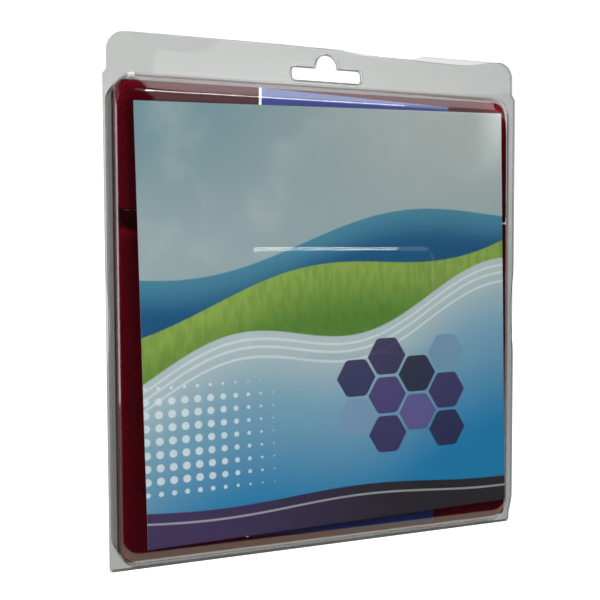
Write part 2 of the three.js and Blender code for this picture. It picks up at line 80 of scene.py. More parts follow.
front_box = Box("front_shell")
rear_box = Box("rear_shell")
card_box = Box("front_card")
leaflet_box = Box("instruction_leaflet")
back_panel_box = Box("cover_back_panel")
pocket_box = Box("cover_front_panel")
flap_box = Box("cover_flap")
hinge_box = Box("living_hinge")
loop_box = Box("loop_strip")
flap_tape_box = Box("flap_binding")
mouth_tape_box = Box("mouth_binding")
pouch_box = Box("pouch_front_panel")
gusset_box = Box("pouch_binding")


# Mesh arrays

OUTER, INNER, RIM = 0, 1, 2


def grid_faces(rows, columns, closed=False):
    """Quads of a grid whose points run row by row; a closed grid joins its last column to its first."""
    row = np.arange(rows - 1)[:, None] * columns
    column = np.arange(columns if closed else columns - 1)[None, :]
    after = (column + 1) % columns
    corners = [row + column, row + after, row + columns + after, row + columns + column]
    return np.stack(corners, -1).reshape(-1, 4)


def flipped(faces):
    """The same quads seen from behind; a triangle's doubled corner stays last."""
    return np.roll(faces[:, ::-1], 2, axis=1)


def weld(points, faces, reach=1e-4):
    """Joins points that coincide. A quad that loses a corner is a triangle with its last corner doubled."""
    _, first, index = np.unique(
        np.round(points / reach).astype(np.int64), axis=0, return_index=True, return_inverse=True
    )
    faces = index.reshape(-1)[faces]
    same = faces == np.roll(faces, -1, axis=1)
    kept = same.sum(1) < 2
    faces, same = faces[kept], same[kept]
    turn = np.where(same.any(1), same.argmax(1) - 2, 0)
    order = (np.arange(4)[None, :] + turn[:, None]) % 4
    return points[first], np.take_along_axis(faces, order, 1), first


def point_normals(points, faces):
    """Unit normals: the cross products of each face's diagonals, summed at the face's corners."""
    a, b, c, d = (points[faces[:, k]] for k in range(4))
    across = np.cross(c - a, d - b)
    total = np.zeros_like(points)
    for corner in range(4):
        np.add.at(total, faces[:, corner], across)
    return total / np.maximum(np.linalg.norm(total, axis=1, keepdims=True), 1e-12)


def thicken(points, faces, thickness):
    """A wall made from a sheet: the sheet, a copy moved in along the normals, and a rim round its edges."""
    count = len(points)
    inner = points - point_normals(points, faces) * thickness
    edges = np.concatenate([faces[:, [k, (k + 1) % 4]] for k in range(4)])
    edges = edges[edges[:, 0] != edges[:, 1]]
    _, index, uses = np.unique(np.sort(edges, 1), axis=0, return_index=True, return_counts=True)
    start, end = edges[index[uses == 1]].T
    rim = np.stack([end, start, start + count, end + count], 1)
    wall = np.concatenate([faces, flipped(faces) + count, rim])
    part = np.repeat([OUTER, INNER, RIM], [len(faces), len(faces), len(rim)])
    return np.concatenate([points, inner]), wall, part


def make_piece(
    name, points, faces, materials, body, node, part=None, uv=None, flat=(RIM,), last=(RIM,)
):
    """A mesh object at the origin from points in millimetres. The parts of a wall that are named in last take
    the last material, and those named in flat aren't smoothed."""
    mesh = bpy.data.meshes.new(name)
    short = faces[:, 2] == faces[:, 3]
    corner_lists = [face[:3] if tri else face for face, tri in zip(faces.tolist(), short.tolist())]
    mesh.from_pydata((points * MM).tolist(), [], corner_lists)
    part = np.full(len(faces), OUTER) if part is None else part
    mesh.polygons.foreach_set("use_smooth", ~np.isin(part, flat))
    index = np.where(np.isin(part, last), len(materials) - 1, 0)
    mesh.polygons.foreach_set("material_index", index.astype(np.int32))
    if uv is not None:
        corner = np.empty(len(mesh.loops), np.int32)
        mesh.loops.foreach_get("vertex_index", corner)
        mesh.uv_layers.new(name="UVMap").data.foreach_set("uv", uv[corner].astype(np.float32).ravel())
    for material in materials:
        mesh.materials.append(material)
    mesh.update()
    piece = bpy.data.objects.new(name, mesh)
    bpy.context.scene.collection.objects.link(piece)
    if body:
        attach(piece, body)
    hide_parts(node)
    return piece


def lay_sheet(wide, high, cut=None):
    """Works out the area, in square metres, of the flat sheet a piece is cut from less any corners cut off
    it, and the sheet's size in metres, and passes none of them on.
    """
    area = None if cut is None else (wide * high - cut) * MM**2
    wide * MM
    high * MM


def rounded_path(points, reach, steps):
    """Straight runs with each inner corner replaced by a quadratic curve that reaches a share of its runs."""
    points = np.asarray(points, float)
    before, corner, after = points[:-2], points[1:-1], points[2:]
    reach = np.asarray(reach, float)[:, None]
    start = corner + (before - corner) * reach
    end = corner + (after - corner) * reach
    t = np.linspace(0, 1, steps)[None, :, None]
    curves = (1 - t) ** 2 * start[:, None] + 2 * t * (1 - t) * corner[:, None] + t**2 * end[:, None]
    return np.concatenate([points[:1], curves.reshape(-1, points.shape[1]), points[-1:]])


def run_lengths(points):
    """Length along a path, or along the columns of a grid, up to each point."""
    steps = np.linalg.norm(np.diff(points, axis=0), axis=-1)
    return np.concatenate([0 * steps[:1], np.cumsum(steps, 0)])


def end_spaced(count):
    """Steps from -1 to 1 that grow denser towards both ends, as the sine of even steps."""
    return np.sin(math.pi / 2 * np.linspace(-1, 1, count))


def edged_steps(half, count):
    """Even steps from -half to half, with one more just inside each end, so that a cut edge doesn't bend the
    shading of the face beside it."""
    return half * np.concatenate([[-1], np.linspace(-0.9995, 0.9995, count - 2), [1]])


def smooth_step(value, low, high):
    """0 below low, 1 above high, and a smooth step between them."""
    t = np.clip((value - low) / (high - low), 0, 1)
    return t**2 * (3 - 2 * t)


# Node trees

class Value:
    """A number that nodes work out. Arithmetic on it adds Math nodes to its tree."""

    def __init__(self, tree, socket):
        self.tree, self.socket = tree, socket

    def __add__(self, other):
        return calc(self.tree, "ADD", self, other)

    def __sub__(self, other):
        return calc(self.tree, "SUBTRACT", self, other)

    def __rsub__(self, other):
        return calc(self.tree, "SUBTRACT", other, self)

    def __mul__(self, other):
        return calc(self.tree, "MULTIPLY", self, other)

    def __truediv__(self, other):
        return calc(self.tree, "DIVIDE", self, other)

    def __abs__(self):
        return calc(self.tree, "ABSOLUTE", self)

    def ease(self, low, high):
        """0 from low, 1 from high on, and a smooth step between them."""
        inputs = {0: self, 1: low, 2: high, 3: 0.0, 4: 1.0}
        node = put(self.tree, "ShaderNodeMapRange", inputs, interpolation_type="SMOOTHSTEP")
        return Value(self.tree, node.outputs[0])

    def between(self, first, second):
        """Number that goes from the first to the second as this goes from 0 to 1."""
        return calc(self.tree, "MULTIPLY_ADD", self, second - first, first)

    def mix(self, first, second):
        """Colour that goes from the first to the second as this goes from 0 to 1."""
        return put(self.tree, "ShaderNodeMix", {0: self, 6: first, 7: second}, data_type="RGBA").outputs[2]


def put(tree, kind, inputs=None, **options):
    """Adds a node with its options; sockets and values among its inputs are linked, and others are set."""
    node = tree.nodes.new(kind)
    for name, value in options.items():
        setattr(node, name, value)
    for name, value in (inputs or {}).items():
        value = value.socket if isinstance(value, Value) else value
        if isinstance(value, bpy.types.NodeSocket):
            tree.links.new(value, node.inputs[name])
        else:
            node.inputs[name].default_value = value
    return node


def calc(tree, operation, *values):
    """Result of a Math node."""
    return Value(tree, put(tree, "ShaderNodeMath", dict(enumerate(values)), operation=operation).outputs[0])


def axes(tree, vector):
    """X, Y and Z of a vector socket."""
    return [Value(tree, socket) for socket in put(tree, "ShaderNodeSeparateXYZ", {0: vector}).outputs]


def noise(tree, vector, scale, detail):
    """Noise at a place."""
    node = put(tree, "ShaderNodeTexNoise", {"Vector": vector, "Scale": scale, "Detail": detail})
    return Value(tree, node.outputs[0])


def mix_shaders(tree, share, first, second):
    """Shader node that goes from the first to the second with the share."""
    return put(tree, "ShaderNodeMixShader", {0: share, 1: first.outputs[0], 2: second.outputs[0]})


def new_material(name):
    """A material and its empty tree."""
    material = bpy.data.materials.new(name)
    material.use_nodes = True
    material.node_tree.nodes.clear()
    return material, material.node_tree


def show(tree, shader, kind="Material"):
    """Ends a tree in a shader node."""
    put(tree, "ShaderNodeOutput" + kind, {"Surface": shader.outputs[0]})


def principled(tree, **inputs):
    """Principled shader, with its inputs named in lower case with underscores."""
    names = {"base_color": "Base Color", "specular": "Specular IOR Level", "sheen": "Sheen Weight"}
    named = {names.get(key, key.replace("_", " ").title()): value for key, value in inputs.items()}
    return put(tree, "ShaderNodeBsdfPrincipled", named)


def new_group(name, inputs, output):
    """A node group with input sockets by name and type and one number as its output, with its end nodes."""
    group = bpy.data.node_groups.new(name, "ShaderNodeTree")
    for label, kind in inputs.items():
        group.interface.new_socket(label, in_out="INPUT", socket_type="NodeSocket" + kind)
    group.interface.new_socket(output, in_out="OUTPUT", socket_type="NodeSocketFloat")
    return group, put(group, "NodeGroupInput").outputs, put(group, "NodeGroupOutput").inputs


def srgb(red, green, blue):
    """Linear colour of an sRGB triple from 0 to 255."""
    share = np.array([red, green, blue]) / 255
    linear = np.where(share <= 0.04045, share / 12.92, ((share + 0.055) / 1.055) ** 2.4)
    return (*linear.tolist(), 1.0)


# Materials

FILM_IOR = 1.72
FILM_TINT = (0.732, 0.74, 0.734, 1.0)
FILM_EDGE_TINT = (0.3, 0.305, 0.3, 1.0)
FILM_SLANT = 0.35
FILM_MIRROR = (0.9, 0.9, 0.9, 1.0)
FILM_ROUGHNESS = 0.03
CUT_CLEAR = (0.3, 0.31, 0.305, 1.0)
CUT_FROST = (0.12, 0.125, 0.12, 1.0)
CUT_FROST_SHARE = 0.5
CUT_ROUGHNESS = 0.25
CLOTH_SPECULAR = 0.05
SLOW_NOISE = (0.08, 3.0)
PILE_NOISE = (1.1, 2.0)
PILE_RANGE = (0.3, 0.7)
WEAVE_SHADE_SHARE = 0.25
SLOW_SHARE = 0.4
PILE_SHARE = 0.6
THREAD_DEPTH = 0.0002


def clear_film():
    """Clear formed sheet: passes light with a grey tint that deepens at a slant, and mirrors by Fresnel. The
    face that a ray enters by does both for the whole sheet, and the face that it leaves by is clear."""
    material, tree = new_material("clear_film")
    leaving = Value(tree, put(tree, "ShaderNodeNewGeometry").outputs["Backfacing"])
    slant = Value(tree, put(tree, "ShaderNodeLayerWeight", {"Blend": FILM_SLANT}).outputs["Facing"])
    tint = leaving.mix(slant.mix(FILM_TINT, FILM_EDGE_TINT), WHITE)
    clear = put(tree, "ShaderNodeBsdfTransparent", {"Color": tint})
    gloss = principled(tree, base_color=FILM_MIRROR, metallic=1.0, roughness=FILM_ROUGHNESS)
    fresnel = Value(tree, put(tree, "ShaderNodeFresnel", {"IOR": FILM_IOR}).outputs[0])
    show(tree, mix_shaders(tree, fresnel * (1.0 - leaving), clear, gloss))
    return material


def cut_edge():
    """Die-cut edge of the sheet: half clear and frosted."""
    material, tree = new_material("cut_edge")
    clear = put(tree, "ShaderNodeBsdfTransparent", {"Color": CUT_CLEAR})
    frost = principled(tree, base_color=CUT_FROST, roughness=CUT_ROUGHNESS)
    show(tree, mix_shaders(tree, CUT_FROST_SHARE, clear, frost))
    return material


def weave_group():
    """Node group of a plain weave on a UV map in millimetres: threads that rise and dip in turn. It gives
    the height of the threads, from 0 to 1."""
    group, start, end = new_group("plain_weave", {"UV": "Vector", "Pitch": "Float"}, "Height")
    turns = [value / start["Pitch"] * math.pi for value in axes(group, start["UV"])[:2]]
    warp, weft = (abs(calc(group, "SINE", turn)) for turn in turns)
    over, under = (calc(group, "COSINE", turn) for turn in turns)
    over = (over * under).between(0.5, 1.0)
    group.links.new((warp * over + weft * (1.0 - over)).socket, end["Height"])
    return group


def cloth_material(name, colour, pitch, contrast, roughness, sheen, bump):
    """Woven cloth: the colour darkens where the weave's threads dip, a painted shade, the weave lifts the
    surface, and slow noise varies the tone.
    """
    material, tree = new_material(name)
    place = put(tree, "ShaderNodeUVMap", uv_map="UVMap").outputs[0]
    threads = put(tree, "ShaderNodeGroup", node_tree=weave)
    tree.links.new(place, threads.inputs["UV"])
    threads.inputs["Pitch"].default_value = pitch
    height = Value(tree, threads.outputs["Height"])
    pile = noise(tree, place, *PILE_NOISE).ease(*PILE_RANGE)
    # Painted shade: the weave darkens the colour in the dips between threads; the noises add random tone
    share = height * WEAVE_SHADE_SHARE + (noise(tree, place, *SLOW_NOISE) * SLOW_SHARE + pile) * PILE_SHARE
    dark = (*(value * (1 - contrast) for value in colour[:3]), 1.0)
    lift = put(tree, "ShaderNodeBump", {"Strength": bump, "Distance": THREAD_DEPTH, "Height": height})
    show(tree, principled(
        tree, base_color=share.mix(dark, colour), roughness=roughness, normal=lift.outputs[0],
        sheen=sheen, sheen_tint=colour, specular=CLOTH_SPECULAR,
    ))
    return material


def plain_material(name, colour, roughness):
    """One colour and roughness."""
    material, tree = new_material(name)
    show(tree, principled(tree, base_color=colour, roughness=roughness))
    return material


weave = weave_group()
film = clear_film()
film_edge = cut_edge()
cover_cloth = cloth_material("cover_cloth", srgb(88, 0, 16), 0.5, 0.8, 0.9, 0.05, 0.6)
# The bindings' near-black colour is painted shade: it stands for the shadow under the flap's lower edge
binding_cloth = cloth_material("binding_cloth", srgb(40, 0, 8), 0.4, 0.5, 0.9, 0.05, 0.7)
hook_nylon = cloth_material("hook_nylon", srgb(58, 14, 22), 0.9, 0.7, 0.6, 0.1, 1.0)
loop_pile = cloth_material("loop_pile", srgb(66, 16, 25), 0.3, 0.4, 0.95, 0.5, 0.8)
pouch_cloth = cloth_material("pouch_cloth", srgb(38, 37, 42), 0.4, 0.4, 0.7, 0.15, 0.6)
lining_cloth = cloth_material("lining_cloth", srgb(58, 57, 62), 0.35, 0.4, 0.7, 0.1, 0.5)
sewing_thread = plain_material("sewing_thread", srgb(84, 6, 20), 0.6)
crystal_grain = plain_material("crystal_grain", srgb(233, 237, 240), 0.35)
board_edge = plain_material("board_edge", srgb(166, 163, 156), 0.7)
paper_edge = plain_material("paper_edge", srgb(225, 225, 225), 0.7)


# Clamshell

SHEET = 0.5
SIDE_FLANGE = 3.7
TRAY_TOP = 190.7
TRAY_CORNER = 8.0
CUT_CORNER = 0.8
FRONT_FOOT = 1.1
FRONT_EDGE_SIDE = 0.95
FRONT_EDGE_TOP = 7.0
FRONT_EDGE_BOTTOM = 5.0
CREASE_GROWTH = 0.15
PANEL_RAISE = 0.4
PANEL_EDGE = 2.2
PANEL_HALF = 43.0
PANEL_X = 6.0
PANEL_BOTTOM = 79.0
PANEL_TOP = 125.0
PANEL_CORNER = 6.0
REAR_DRAFT = 0.4
REAR_EDGE = 2.2
HEADER_INSET = 1.5
HEADER_CORNER = 7.0
SHOULDER_FOOT = 189.3
SHOULDER_RISE = 2.8
SHOULDER_MARGIN = 2.0
SHOULDER_SHARE = 0.88
NOTCH_Z = 96.0
NOTCH_LENGTH = 40.0
NOTCH_DEPTH = 1.4
RIGHT_TRIM = 1.6
RIGHT_TRIM_RISE = (3.0, 12.0)
HEADER_DIP = 2.5
HEADER_DIP_FALL = (-22.0, 66.0)
HEADER_DIP_RISE = (63.0, 84.0)
HEADER_WARP = 0.5
HEADER_WAVES = (37.0, 0.6, 90.0)
SLOT_HALF = 15.5
SLOT_BOTTOM = 192.0
SLOT_TOP = 197.2
SLOT_CORNER = 1.6
SLOT_BUMP_RADIUS = 4.8
SLOT_BUMP_Z = 198.0
SLOT_FIELD_HALF = 19.5
SLOT_ARC_STEPS = 48

# Margin and height of each loop of the bead round the slot
SLOT_RIM = (
    (0.9, 0.0), (0.84, 0.0), (0.74, 0.08), (0.58, 0.34), (0.4, 0.4), (0.15, 0.36), (0.04, 0.25), (0.0, 0.22)
)
# Squeeze, share of the sloped edge and rise of each loop of the raised panel
PANEL_ROWS = (
    (1.0, 1.0, 1.0), (0.5, 1.0, 1.0), (0.0, 1.0, 1.0), (0.0, 0.85, 0.97), (0.0, 0.5, 0.5), (0.0, 0.15, 0.03),
    (0.0, 0.0, 0.0),
)
# Inset and height of the front edge's corners, as shares, and how far each corner's curve reaches
FRONT_PROFILE = ((1.9, 1.0), (1.0, 1.0), (0.8, 0.879), (0.257, 0.55), (0.0, 0.0), (-0.02, 0.0))
FRONT_PROFILE_REACH = (0.5, 0.3, 0.25, 0.2)
# Steps along a loop round the shell, and the shares of the way at which loops lie
LOOP_ACROSS = 220
LOOP_UP = 140
LOOP_CORNER = 16
FRONT_PROFILE_STEPS = 6
REAR_EDGE_STEPS = 9
REAR_WALL_STEPS = np.linspace(0.8, 0, 5)
WINDOW_STEPS = np.array([0.3, 0.6, 0.9, 0.99])
BACK_STEPS = np.array([1.0, 0.75, 0.5, 0.25])
FLANGE_STEPS = np.array([0.01, 0.05, 0.12, 0.2, 0.3, 0.4, 0.5, 0.6, 0.7, 0.8, 0.9, 0.96, 1.0])
FIELD_ROWS = (1, 11)


def loop_template():
    """Where each point of a round-cornered loop sits: its corner centre, as shares of the straight sides
    across and up, and its direction from that centre. It goes anticlockwise from the lower left."""
    across = np.linspace(-1, 1, LOOP_ACROSS + 1)
    up = np.linspace(0, 1, LOOP_UP + 1)
    turn = np.linspace(0, 90, LOOP_CORNER + 1)[1:-1]
    ones = np.ones_like
    runs = [
        (across, 0 * across, -90 * ones(across)),
        (ones(turn), 0 * turn, turn - 90),
        (ones(up), up, 0 * up),
        (ones(turn), ones(turn), turn),
        (-across, ones(across), 90 * ones(across)),
        (-ones(turn), ones(turn), turn + 90),
        (-ones(up), 1 - up, 180 * ones(up)),
        (-ones(turn), 0 * turn, turn + 180),
    ]
    share_x, share_z, angle = (np.concatenate(column) for column in zip(*runs))
    return share_x, share_z, np.cos(np.radians(angle)), np.sin(np.radians(angle))


share_x, share_z, turn_x, turn_z = loop_template()
LOOP_COUNT = len(share_x)
TOP_SIDE = 2 * LOOP_CORNER + LOOP_ACROSS + LOOP_UP
tray_half = front_box.right - SIDE_FLANGE
pack_top = rear_box.top


def round_loops(half, bottom, top, corner, middle=0.0):
    """Loops of a round-cornered rectangle, one row for each entry of the arrays."""
    half, bottom, top, corner, middle = (
        np.asarray(value, float)[:, None] for value in np.broadcast_arrays(half, bottom, top, corner, middle)
    )
    x = middle + (half - corner) * share_x + corner * turn_x
    z = bottom + corner + (top - bottom - 2 * corner) * share_z + corner * turn_z
    return np.stack([x, z], -1)


def shrinking_loops(half, bottom, top, corner, squeeze, middle=0.0):
    """Loops of a rectangle that shrink, by shares of the way, to half its width on its level middle line."""
    centre = (bottom + top) / 2
    low, high = (edge + (centre - edge) * squeeze for edge in (bottom, top))
    return round_loops(half * (1 - squeeze / 2), low, high, corner * (1 - squeeze), middle)


def cut_outline(bottom, notched):
    """Die-cut edge: straight sides with a soft finger notch, shoulders that step in to the header, and
    round header corners. The front sheet's top edge dips on its right half."""
    half = front_box.right
    corner_z = pack_top - HEADER_CORNER
    low = bottom + CUT_CORNER
    rise = np.interp(share_z, [0, SHOULDER_SHARE, 1], [low, SHOULDER_FOOT - SHOULDER_MARGIN, corner_z])
    trim = RIGHT_TRIM * (share_x > 0)
    side = half - HEADER_INSET * smooth_step(rise, SHOULDER_FOOT, SHOULDER_FOOT + SHOULDER_RISE)
    side = side - trim * (1 - smooth_step(rise, *RIGHT_TRIM_RISE))
    if notched:
        side = side - NOTCH_DEPTH * np.clip(1 - ((rise - NOTCH_Z) / (NOTCH_LENGTH / 2)) ** 2, 0, 1) ** 2
    ends = [share_z >= 1, share_z <= 0]
    corner = np.select(ends, [HEADER_CORNER, CUT_CORNER], 0.0)
    reach = np.select(ends, [half - HEADER_INSET, half - trim], side) - corner
    x = reach * share_x + corner * turn_x
    z = np.select(ends, [corner_z, low], rise) + corner * turn_z
    if notched:
        dip = smooth_step(x, *HEADER_DIP_FALL) * (1 - smooth_step(x, *HEADER_DIP_RISE))
        z = z - np.where(ends[0], HEADER_DIP * dip, 0)
    return np.stack([x, z], -1)


def slot_loop(margin, shares):
    """Edge of the hang slot grown by a margin, at shares of its length from the middle of its bottom side.
    It is a round-cornered slot with a round rise in the middle of its top."""
    half = SLOT_HALF + margin
    bottom, top = SLOT_BOTTOM - margin, SLOT_TOP + margin
    corner, bump = SLOT_CORNER + margin, SLOT_BUMP_RADIUS + margin
    reach = math.degrees(math.acos((top - SLOT_BUMP_Z) / bump))
    arcs = np.array([
        (half - corner, bottom + corner, corner, -90, 0),
        (half - corner, top - corner, corner, 0, 90),
        (0, SLOT_BUMP_Z, bump, 90 - reach, 90 + reach),
        (corner - half, top - corner, corner, 90, 180),
        (corner - half, bottom + corner, corner, 180, 270),
    ])
    middle_x, middle_z, radius, start, end = arcs.T[..., None]
    turn = np.radians(start + (end - start) * np.linspace(0, 1, SLOT_ARC_STEPS))
    x = np.concatenate([[0], (middle_x + radius * np.cos(turn)).ravel(), [0]])
    z = np.concatenate([[bottom], (middle_z + radius * np.sin(turn)).ravel(), [bottom]])
    run = run_lengths(np.stack([x, z], -1))
    return np.stack([np.interp(shares * run[-1], run, value) for value in (x, z)], -1)


def header_warp(x, z):
    """Small bend of both header sheets, which grows from the tray's top to the header's edge."""
    up = np.clip((z - TRAY_TOP) / (pack_top - TRAY_TOP), 0, 1)
    length, phase, slow_length = HEADER_WAVES
    return HEADER_WARP * up**2 * np.sin(x / length + phase) * np.cos(x / slow_length)


def shell_skin(levels, depths, outline):
    """Outer skin of one half of the clamshell: loops from the middle of its face out to the tray's foot,
    then flat loops to the die-cut edge, and in the header a field of loops round the hang slot.
    Returns points with their height above the flange, and faces for a skin seen from behind."""
    flange = levels[-1] + (outline - levels[-1]) * FLANGE_STEPS[:, None, None]
    flat = np.concatenate([levels, flange]).reshape(-1, 2)
    heights = np.concatenate([np.repeat(depths, LOOP_COUNT), np.zeros(flange[..., 0].size)])
    first, last = (len(levels) - 1 + row for row in FIELD_ROWS)
    columns = TOP_SIDE + np.arange(LOOP_ACROSS + 1)
    right, *_, left = columns[np.abs(outline[columns, 0]) < SLOT_FIELD_HALF]
    rows = np.arange(first, last + 1)
    ring = np.concatenate([
        first * LOOP_COUNT + np.arange(left, right, -1),
        rows[:-1] * LOOP_COUNT + right,
        last * LOOP_COUNT + np.arange(right, left),
        rows[:0:-1] * LOOP_COUNT + left,
    ])
    ring = np.roll(ring, -int(np.argmin(np.abs(flat[ring[: left - right], 0]))))
    run = run_lengths(flat[np.append(ring, ring[0])])
    rims = np.stack([slot_loop(margin, run[:-1] / run[-1]) for margin, _ in SLOT_RIM])
    rim_rows = len(flat) + np.arange(rims[..., 0].size).reshape(len(SLOT_RIM), -1)
    rim_rows = np.concatenate([ring[None], rim_rows])
    after = np.roll(rim_rows, -1, axis=1)
    patch = np.stack([rim_rows[1:], after[1:], after[:-1], rim_rows[:-1]], -1).reshape(-1, 4)
    faces = grid_faces(len(levels) + len(flange), LOOP_COUNT, closed=True)
    row, column = np.divmod(faces[:, 0], LOOP_COUNT)
    hole = (row >= first) & (row < last) & (column >= right) & (column < left)
    flat = np.concatenate([flat, rims.reshape(-1, 2)])
    heights = np.concatenate([heights, np.repeat([rise for _, rise in SLOT_RIM], len(ring))])
    used, faces = np.unique(np.concatenate([faces[~hole], patch]), return_inverse=True)
    return flat[used], heights[used], faces.reshape(-1, 4)


def front_levels():
    """Loops of the front tray: a raised panel, the flat window, and an edge that falls to the flange as a
    flat slope with a tight bend above it and a steep wall below it."""
    depth = front_box.back - SHEET - front_box.front - PANEL_RAISE
    bottom = front_box.bottom + FRONT_FOOT
    squeeze, share, rise = np.array(PANEL_ROWS).T
    inset = PANEL_EDGE * share
    panel = shrinking_loops(
        PANEL_HALF - inset, PANEL_BOTTOM + inset, PANEL_TOP - inset, PANEL_CORNER - inset, squeeze, PANEL_X
    )
    profile = rounded_path(FRONT_PROFILE, FRONT_PROFILE_REACH, FRONT_PROFILE_STEPS)[1:-1]
    inset, fall = np.clip(profile[:, 0], 0, None), profile[:, 1]
    edges = round_loops(
        tray_half - FRONT_EDGE_SIDE * inset,
        bottom + FRONT_EDGE_BOTTOM * inset,
        TRAY_TOP - FRONT_EDGE_TOP * inset,
        TRAY_CORNER - FRONT_EDGE_SIDE * inset,
    )
    window = panel[-1] + (edges[0] - panel[-1]) * WINDOW_STEPS[:, None, None]
    grown = CREASE_GROWTH
    foot = round_loops([tray_half + grown], bottom - grown, TRAY_TOP + grown, TRAY_CORNER + grown)
    depths = [depth + PANEL_RAISE * rise, np.full(len(window), depth), depth * fall, [0]]
    return np.concatenate([panel, window, edges, foot]), np.concatenate(depths)


def rear_levels():
    """Loops of the rear tray: a flat back, a quarter-round edge, and walls that lean out to the flange.
    The bottom wall stands square, because the pack rests on it."""
    depth = rear_box.back - rear_box.front - SHEET
    wall = depth - REAR_EDGE
    angle = np.radians(np.linspace(90, 0, REAR_EDGE_STEPS))
    inset = np.concatenate([REAR_EDGE * (1 - np.cos(angle)), 0 * REAR_WALL_STEPS])
    fall = np.concatenate([depth - REAR_EDGE * (1 - np.sin(angle)), wall * REAR_WALL_STEPS])
    lean = REAR_DRAFT * np.clip(fall / wall, 0, 1)
    edges = round_loops(tray_half - lean - inset, inset, TRAY_TOP - lean - inset, TRAY_CORNER - inset)
    shrunk = REAR_DRAFT + REAR_EDGE
    back = shrinking_loops(
        tray_half - shrunk, REAR_EDGE, TRAY_TOP - shrunk, TRAY_CORNER - REAR_EDGE, BACK_STEPS
    )
    foot = round_loops([tray_half + CREASE_GROWTH], 0.0, TRAY_TOP + CREASE_GROWTH, TRAY_CORNER)
    depths = [np.full(len(back), depth), fall, [0]]
    return np.concatenate([back, edges, foot]), np.concatenate(depths)


def make_shell(name, body, node, levels_and_depths, outline, flange_y, direction):
    """One half of the clamshell as a closed wall of even thickness."""
    flat, heights, faces = shell_skin(*levels_and_depths, outline)
    x, z = flat.T
    points, faces, _ = weld(np.stack([x, flange_y + direction * heights + header_warp(x, z), z], -1), faces)
    points, faces, part = thicken(points, flipped(faces) if direction < 0 else faces, SHEET)
    make_piece(name, points, faces, [film, film_edge], body, node, part, flat=(INNER, RIM))


front_outline, rear_outline = cut_outline(front_box.bottom, True), cut_outline(0.0, False)
front_flange, rear_flange = front_box.back - SHEET, rear_box.front + SHEET
make_shell("clear_front_shell", "lid", "front_shell", front_levels(), front_outline, front_flange, -1)
make_shell("clear_rear_shell", "pack", "rear_shell", rear_levels(), rear_outline, rear_flange, 1)


# Card and leaflet

CARD_SKEW = 1.15
CARD_BOW = 0.1
CARD_REACH = 1.2
CARD_STEPS = 33
LEAFLET_SKEW = -2.2
LEAFLET_PAPER = 0.2
LEAFLET_FOLD_GAP = 0.15
LEAFLET_BEND_FROM = 180.0
LEAFLET_BEND = 0.5
LEAFLET_STEPS = 24
LEAFLET_SHORT_STEPS = 4
LEAFLET_MARGIN = 0.9
# Painted reflection: heights in millimetres over which the leaflet's blue pales behind the film's top chamfer
LEAFLET_VEIL_HEIGHTS = (183.2, 184.2)
# Painted shade: heights on the leaflet, in millimetres from its middle, over which its blue lightens from the
# shaded bottom
LEAFLET_SHADE = (-80.0, 60.0)
LEAFLET_MARGIN_EDGE = 0.1
LEAFLET_ROUGHNESS = 0.5
LEAFLET_SPECULAR = 0.3
LEAFLET_FOLD_STEPS = 9
LEAFLET_UP_STEPS = 41
card_box.right += CARD_REACH

# Print, in millimetres from the card's middle. Each line is a level, slope, wave height, length and phase.
PRINT_GAIN = 1.25
CREST_LINE = (33.0, 0.13, 7.0, 170.0, 0.5)
BANK_LINE = (18.0, 0.2, 6.0, 150.0, 2.2)
SHORE_LINE = (-2.0, 0.22, 7.5, 120.0, 4.0)
FOOT_LINE = (-72.5, -0.012, 1.6, 130.0, 1.0)
CREST_EDGE = (-0.4, 0.4)
RIBBON_EDGE = (-0.3, 0.3)
SKY_ACROSS = (-80.0, 70.0)
SKY_DOWN = (86.0, 20.0)
CLOUD_NOISE = (0.03, 4.0)
CLOUD_RANGE = (0.5, 0.75)
CLOUD_SHARE = 0.35
SEA_DEPTH = 16.0
GRASS_DEPTH = 24.0
BLADE_STRETCH = (0.5, 1.0, 0.16)
BLADE_NOISE = (0.8, 3.0)
BLADE_RANGE = (0.4, 0.65)
BLADE_SHARE = 0.3
POOL_DEPTHS = ((0.0, 34.0), (24.0, 78.0))
FOAM_LINES = (3.2, 6.4, 10.4)
FOAM_EDGE = (0.75, 0.35)
FOAM_SHARE = 0.6
DOT_PITCH = 5.2
DOT_RADIUS = 0.3
DOT_EDGE = (0.03, -0.03)
DOT_SHARE = 0.85
DOT_ACROSS = (-16.0, -62.0)
DOT_TOP = (-18.0, -30.0)
DOT_BOTTOM = (-72.0, -60.0)
FOOT_ACROSS = (-70.0, 40.0)
FOOT_EDGE = 4.2
FOOT_EDGE_FADE = (0.6, 0.25)
FOOT_EDGE_SHARE = 0.55
GRAIN_NOISE = (2.5, 2.0)
GRAIN_SHARE = 0.06
CARD_ROUGHNESS = 0.42
CARD_SPECULAR = 0.35
HEX_ACROSS = 15.5
HEX_GAP = 1.1
HEX_CENTRE = (23.0, -34.0)
HEX_ROUND = 2.0
HEX_EDGE = (-0.15, 0.15)
HEX_SHARE = 0.94

# Print tones in sRGB, and each tile's column, row and tone
SKY_LEFT = (112, 142, 150)
SKY_RIGHT = (168, 174, 172)
SKY_LOW = (150, 166, 170)
CLOUD = (190, 196, 196)
SEA_SHALLOW = (70, 128, 152)
SEA_DEEP = (28, 84, 124)
GRASS_TOP = (138, 166, 78)
GRASS_LOW = (88, 130, 52)
GRASS_BLADE = (70, 112, 44)
POOL_EDGE = (176, 190, 192)
POOL_SHALLOW = (118, 160, 182)
POOL_DEEP = (26, 122, 170)
FOAM = (214, 224, 226)
DOT = (214, 224, 228)
FOOT_LEFT = (66, 52, 90)
FOOT_RIGHT = (44, 41, 48)
FOOT_PALE = (196, 198, 200)
# The leaflet's two blues are painted shade, darker at its bottom and lighter above
LEAFLET_SHADED_BLUE = (8, 20, 66)
LEAFLET_LIT_BLUE = (14, 36, 118)
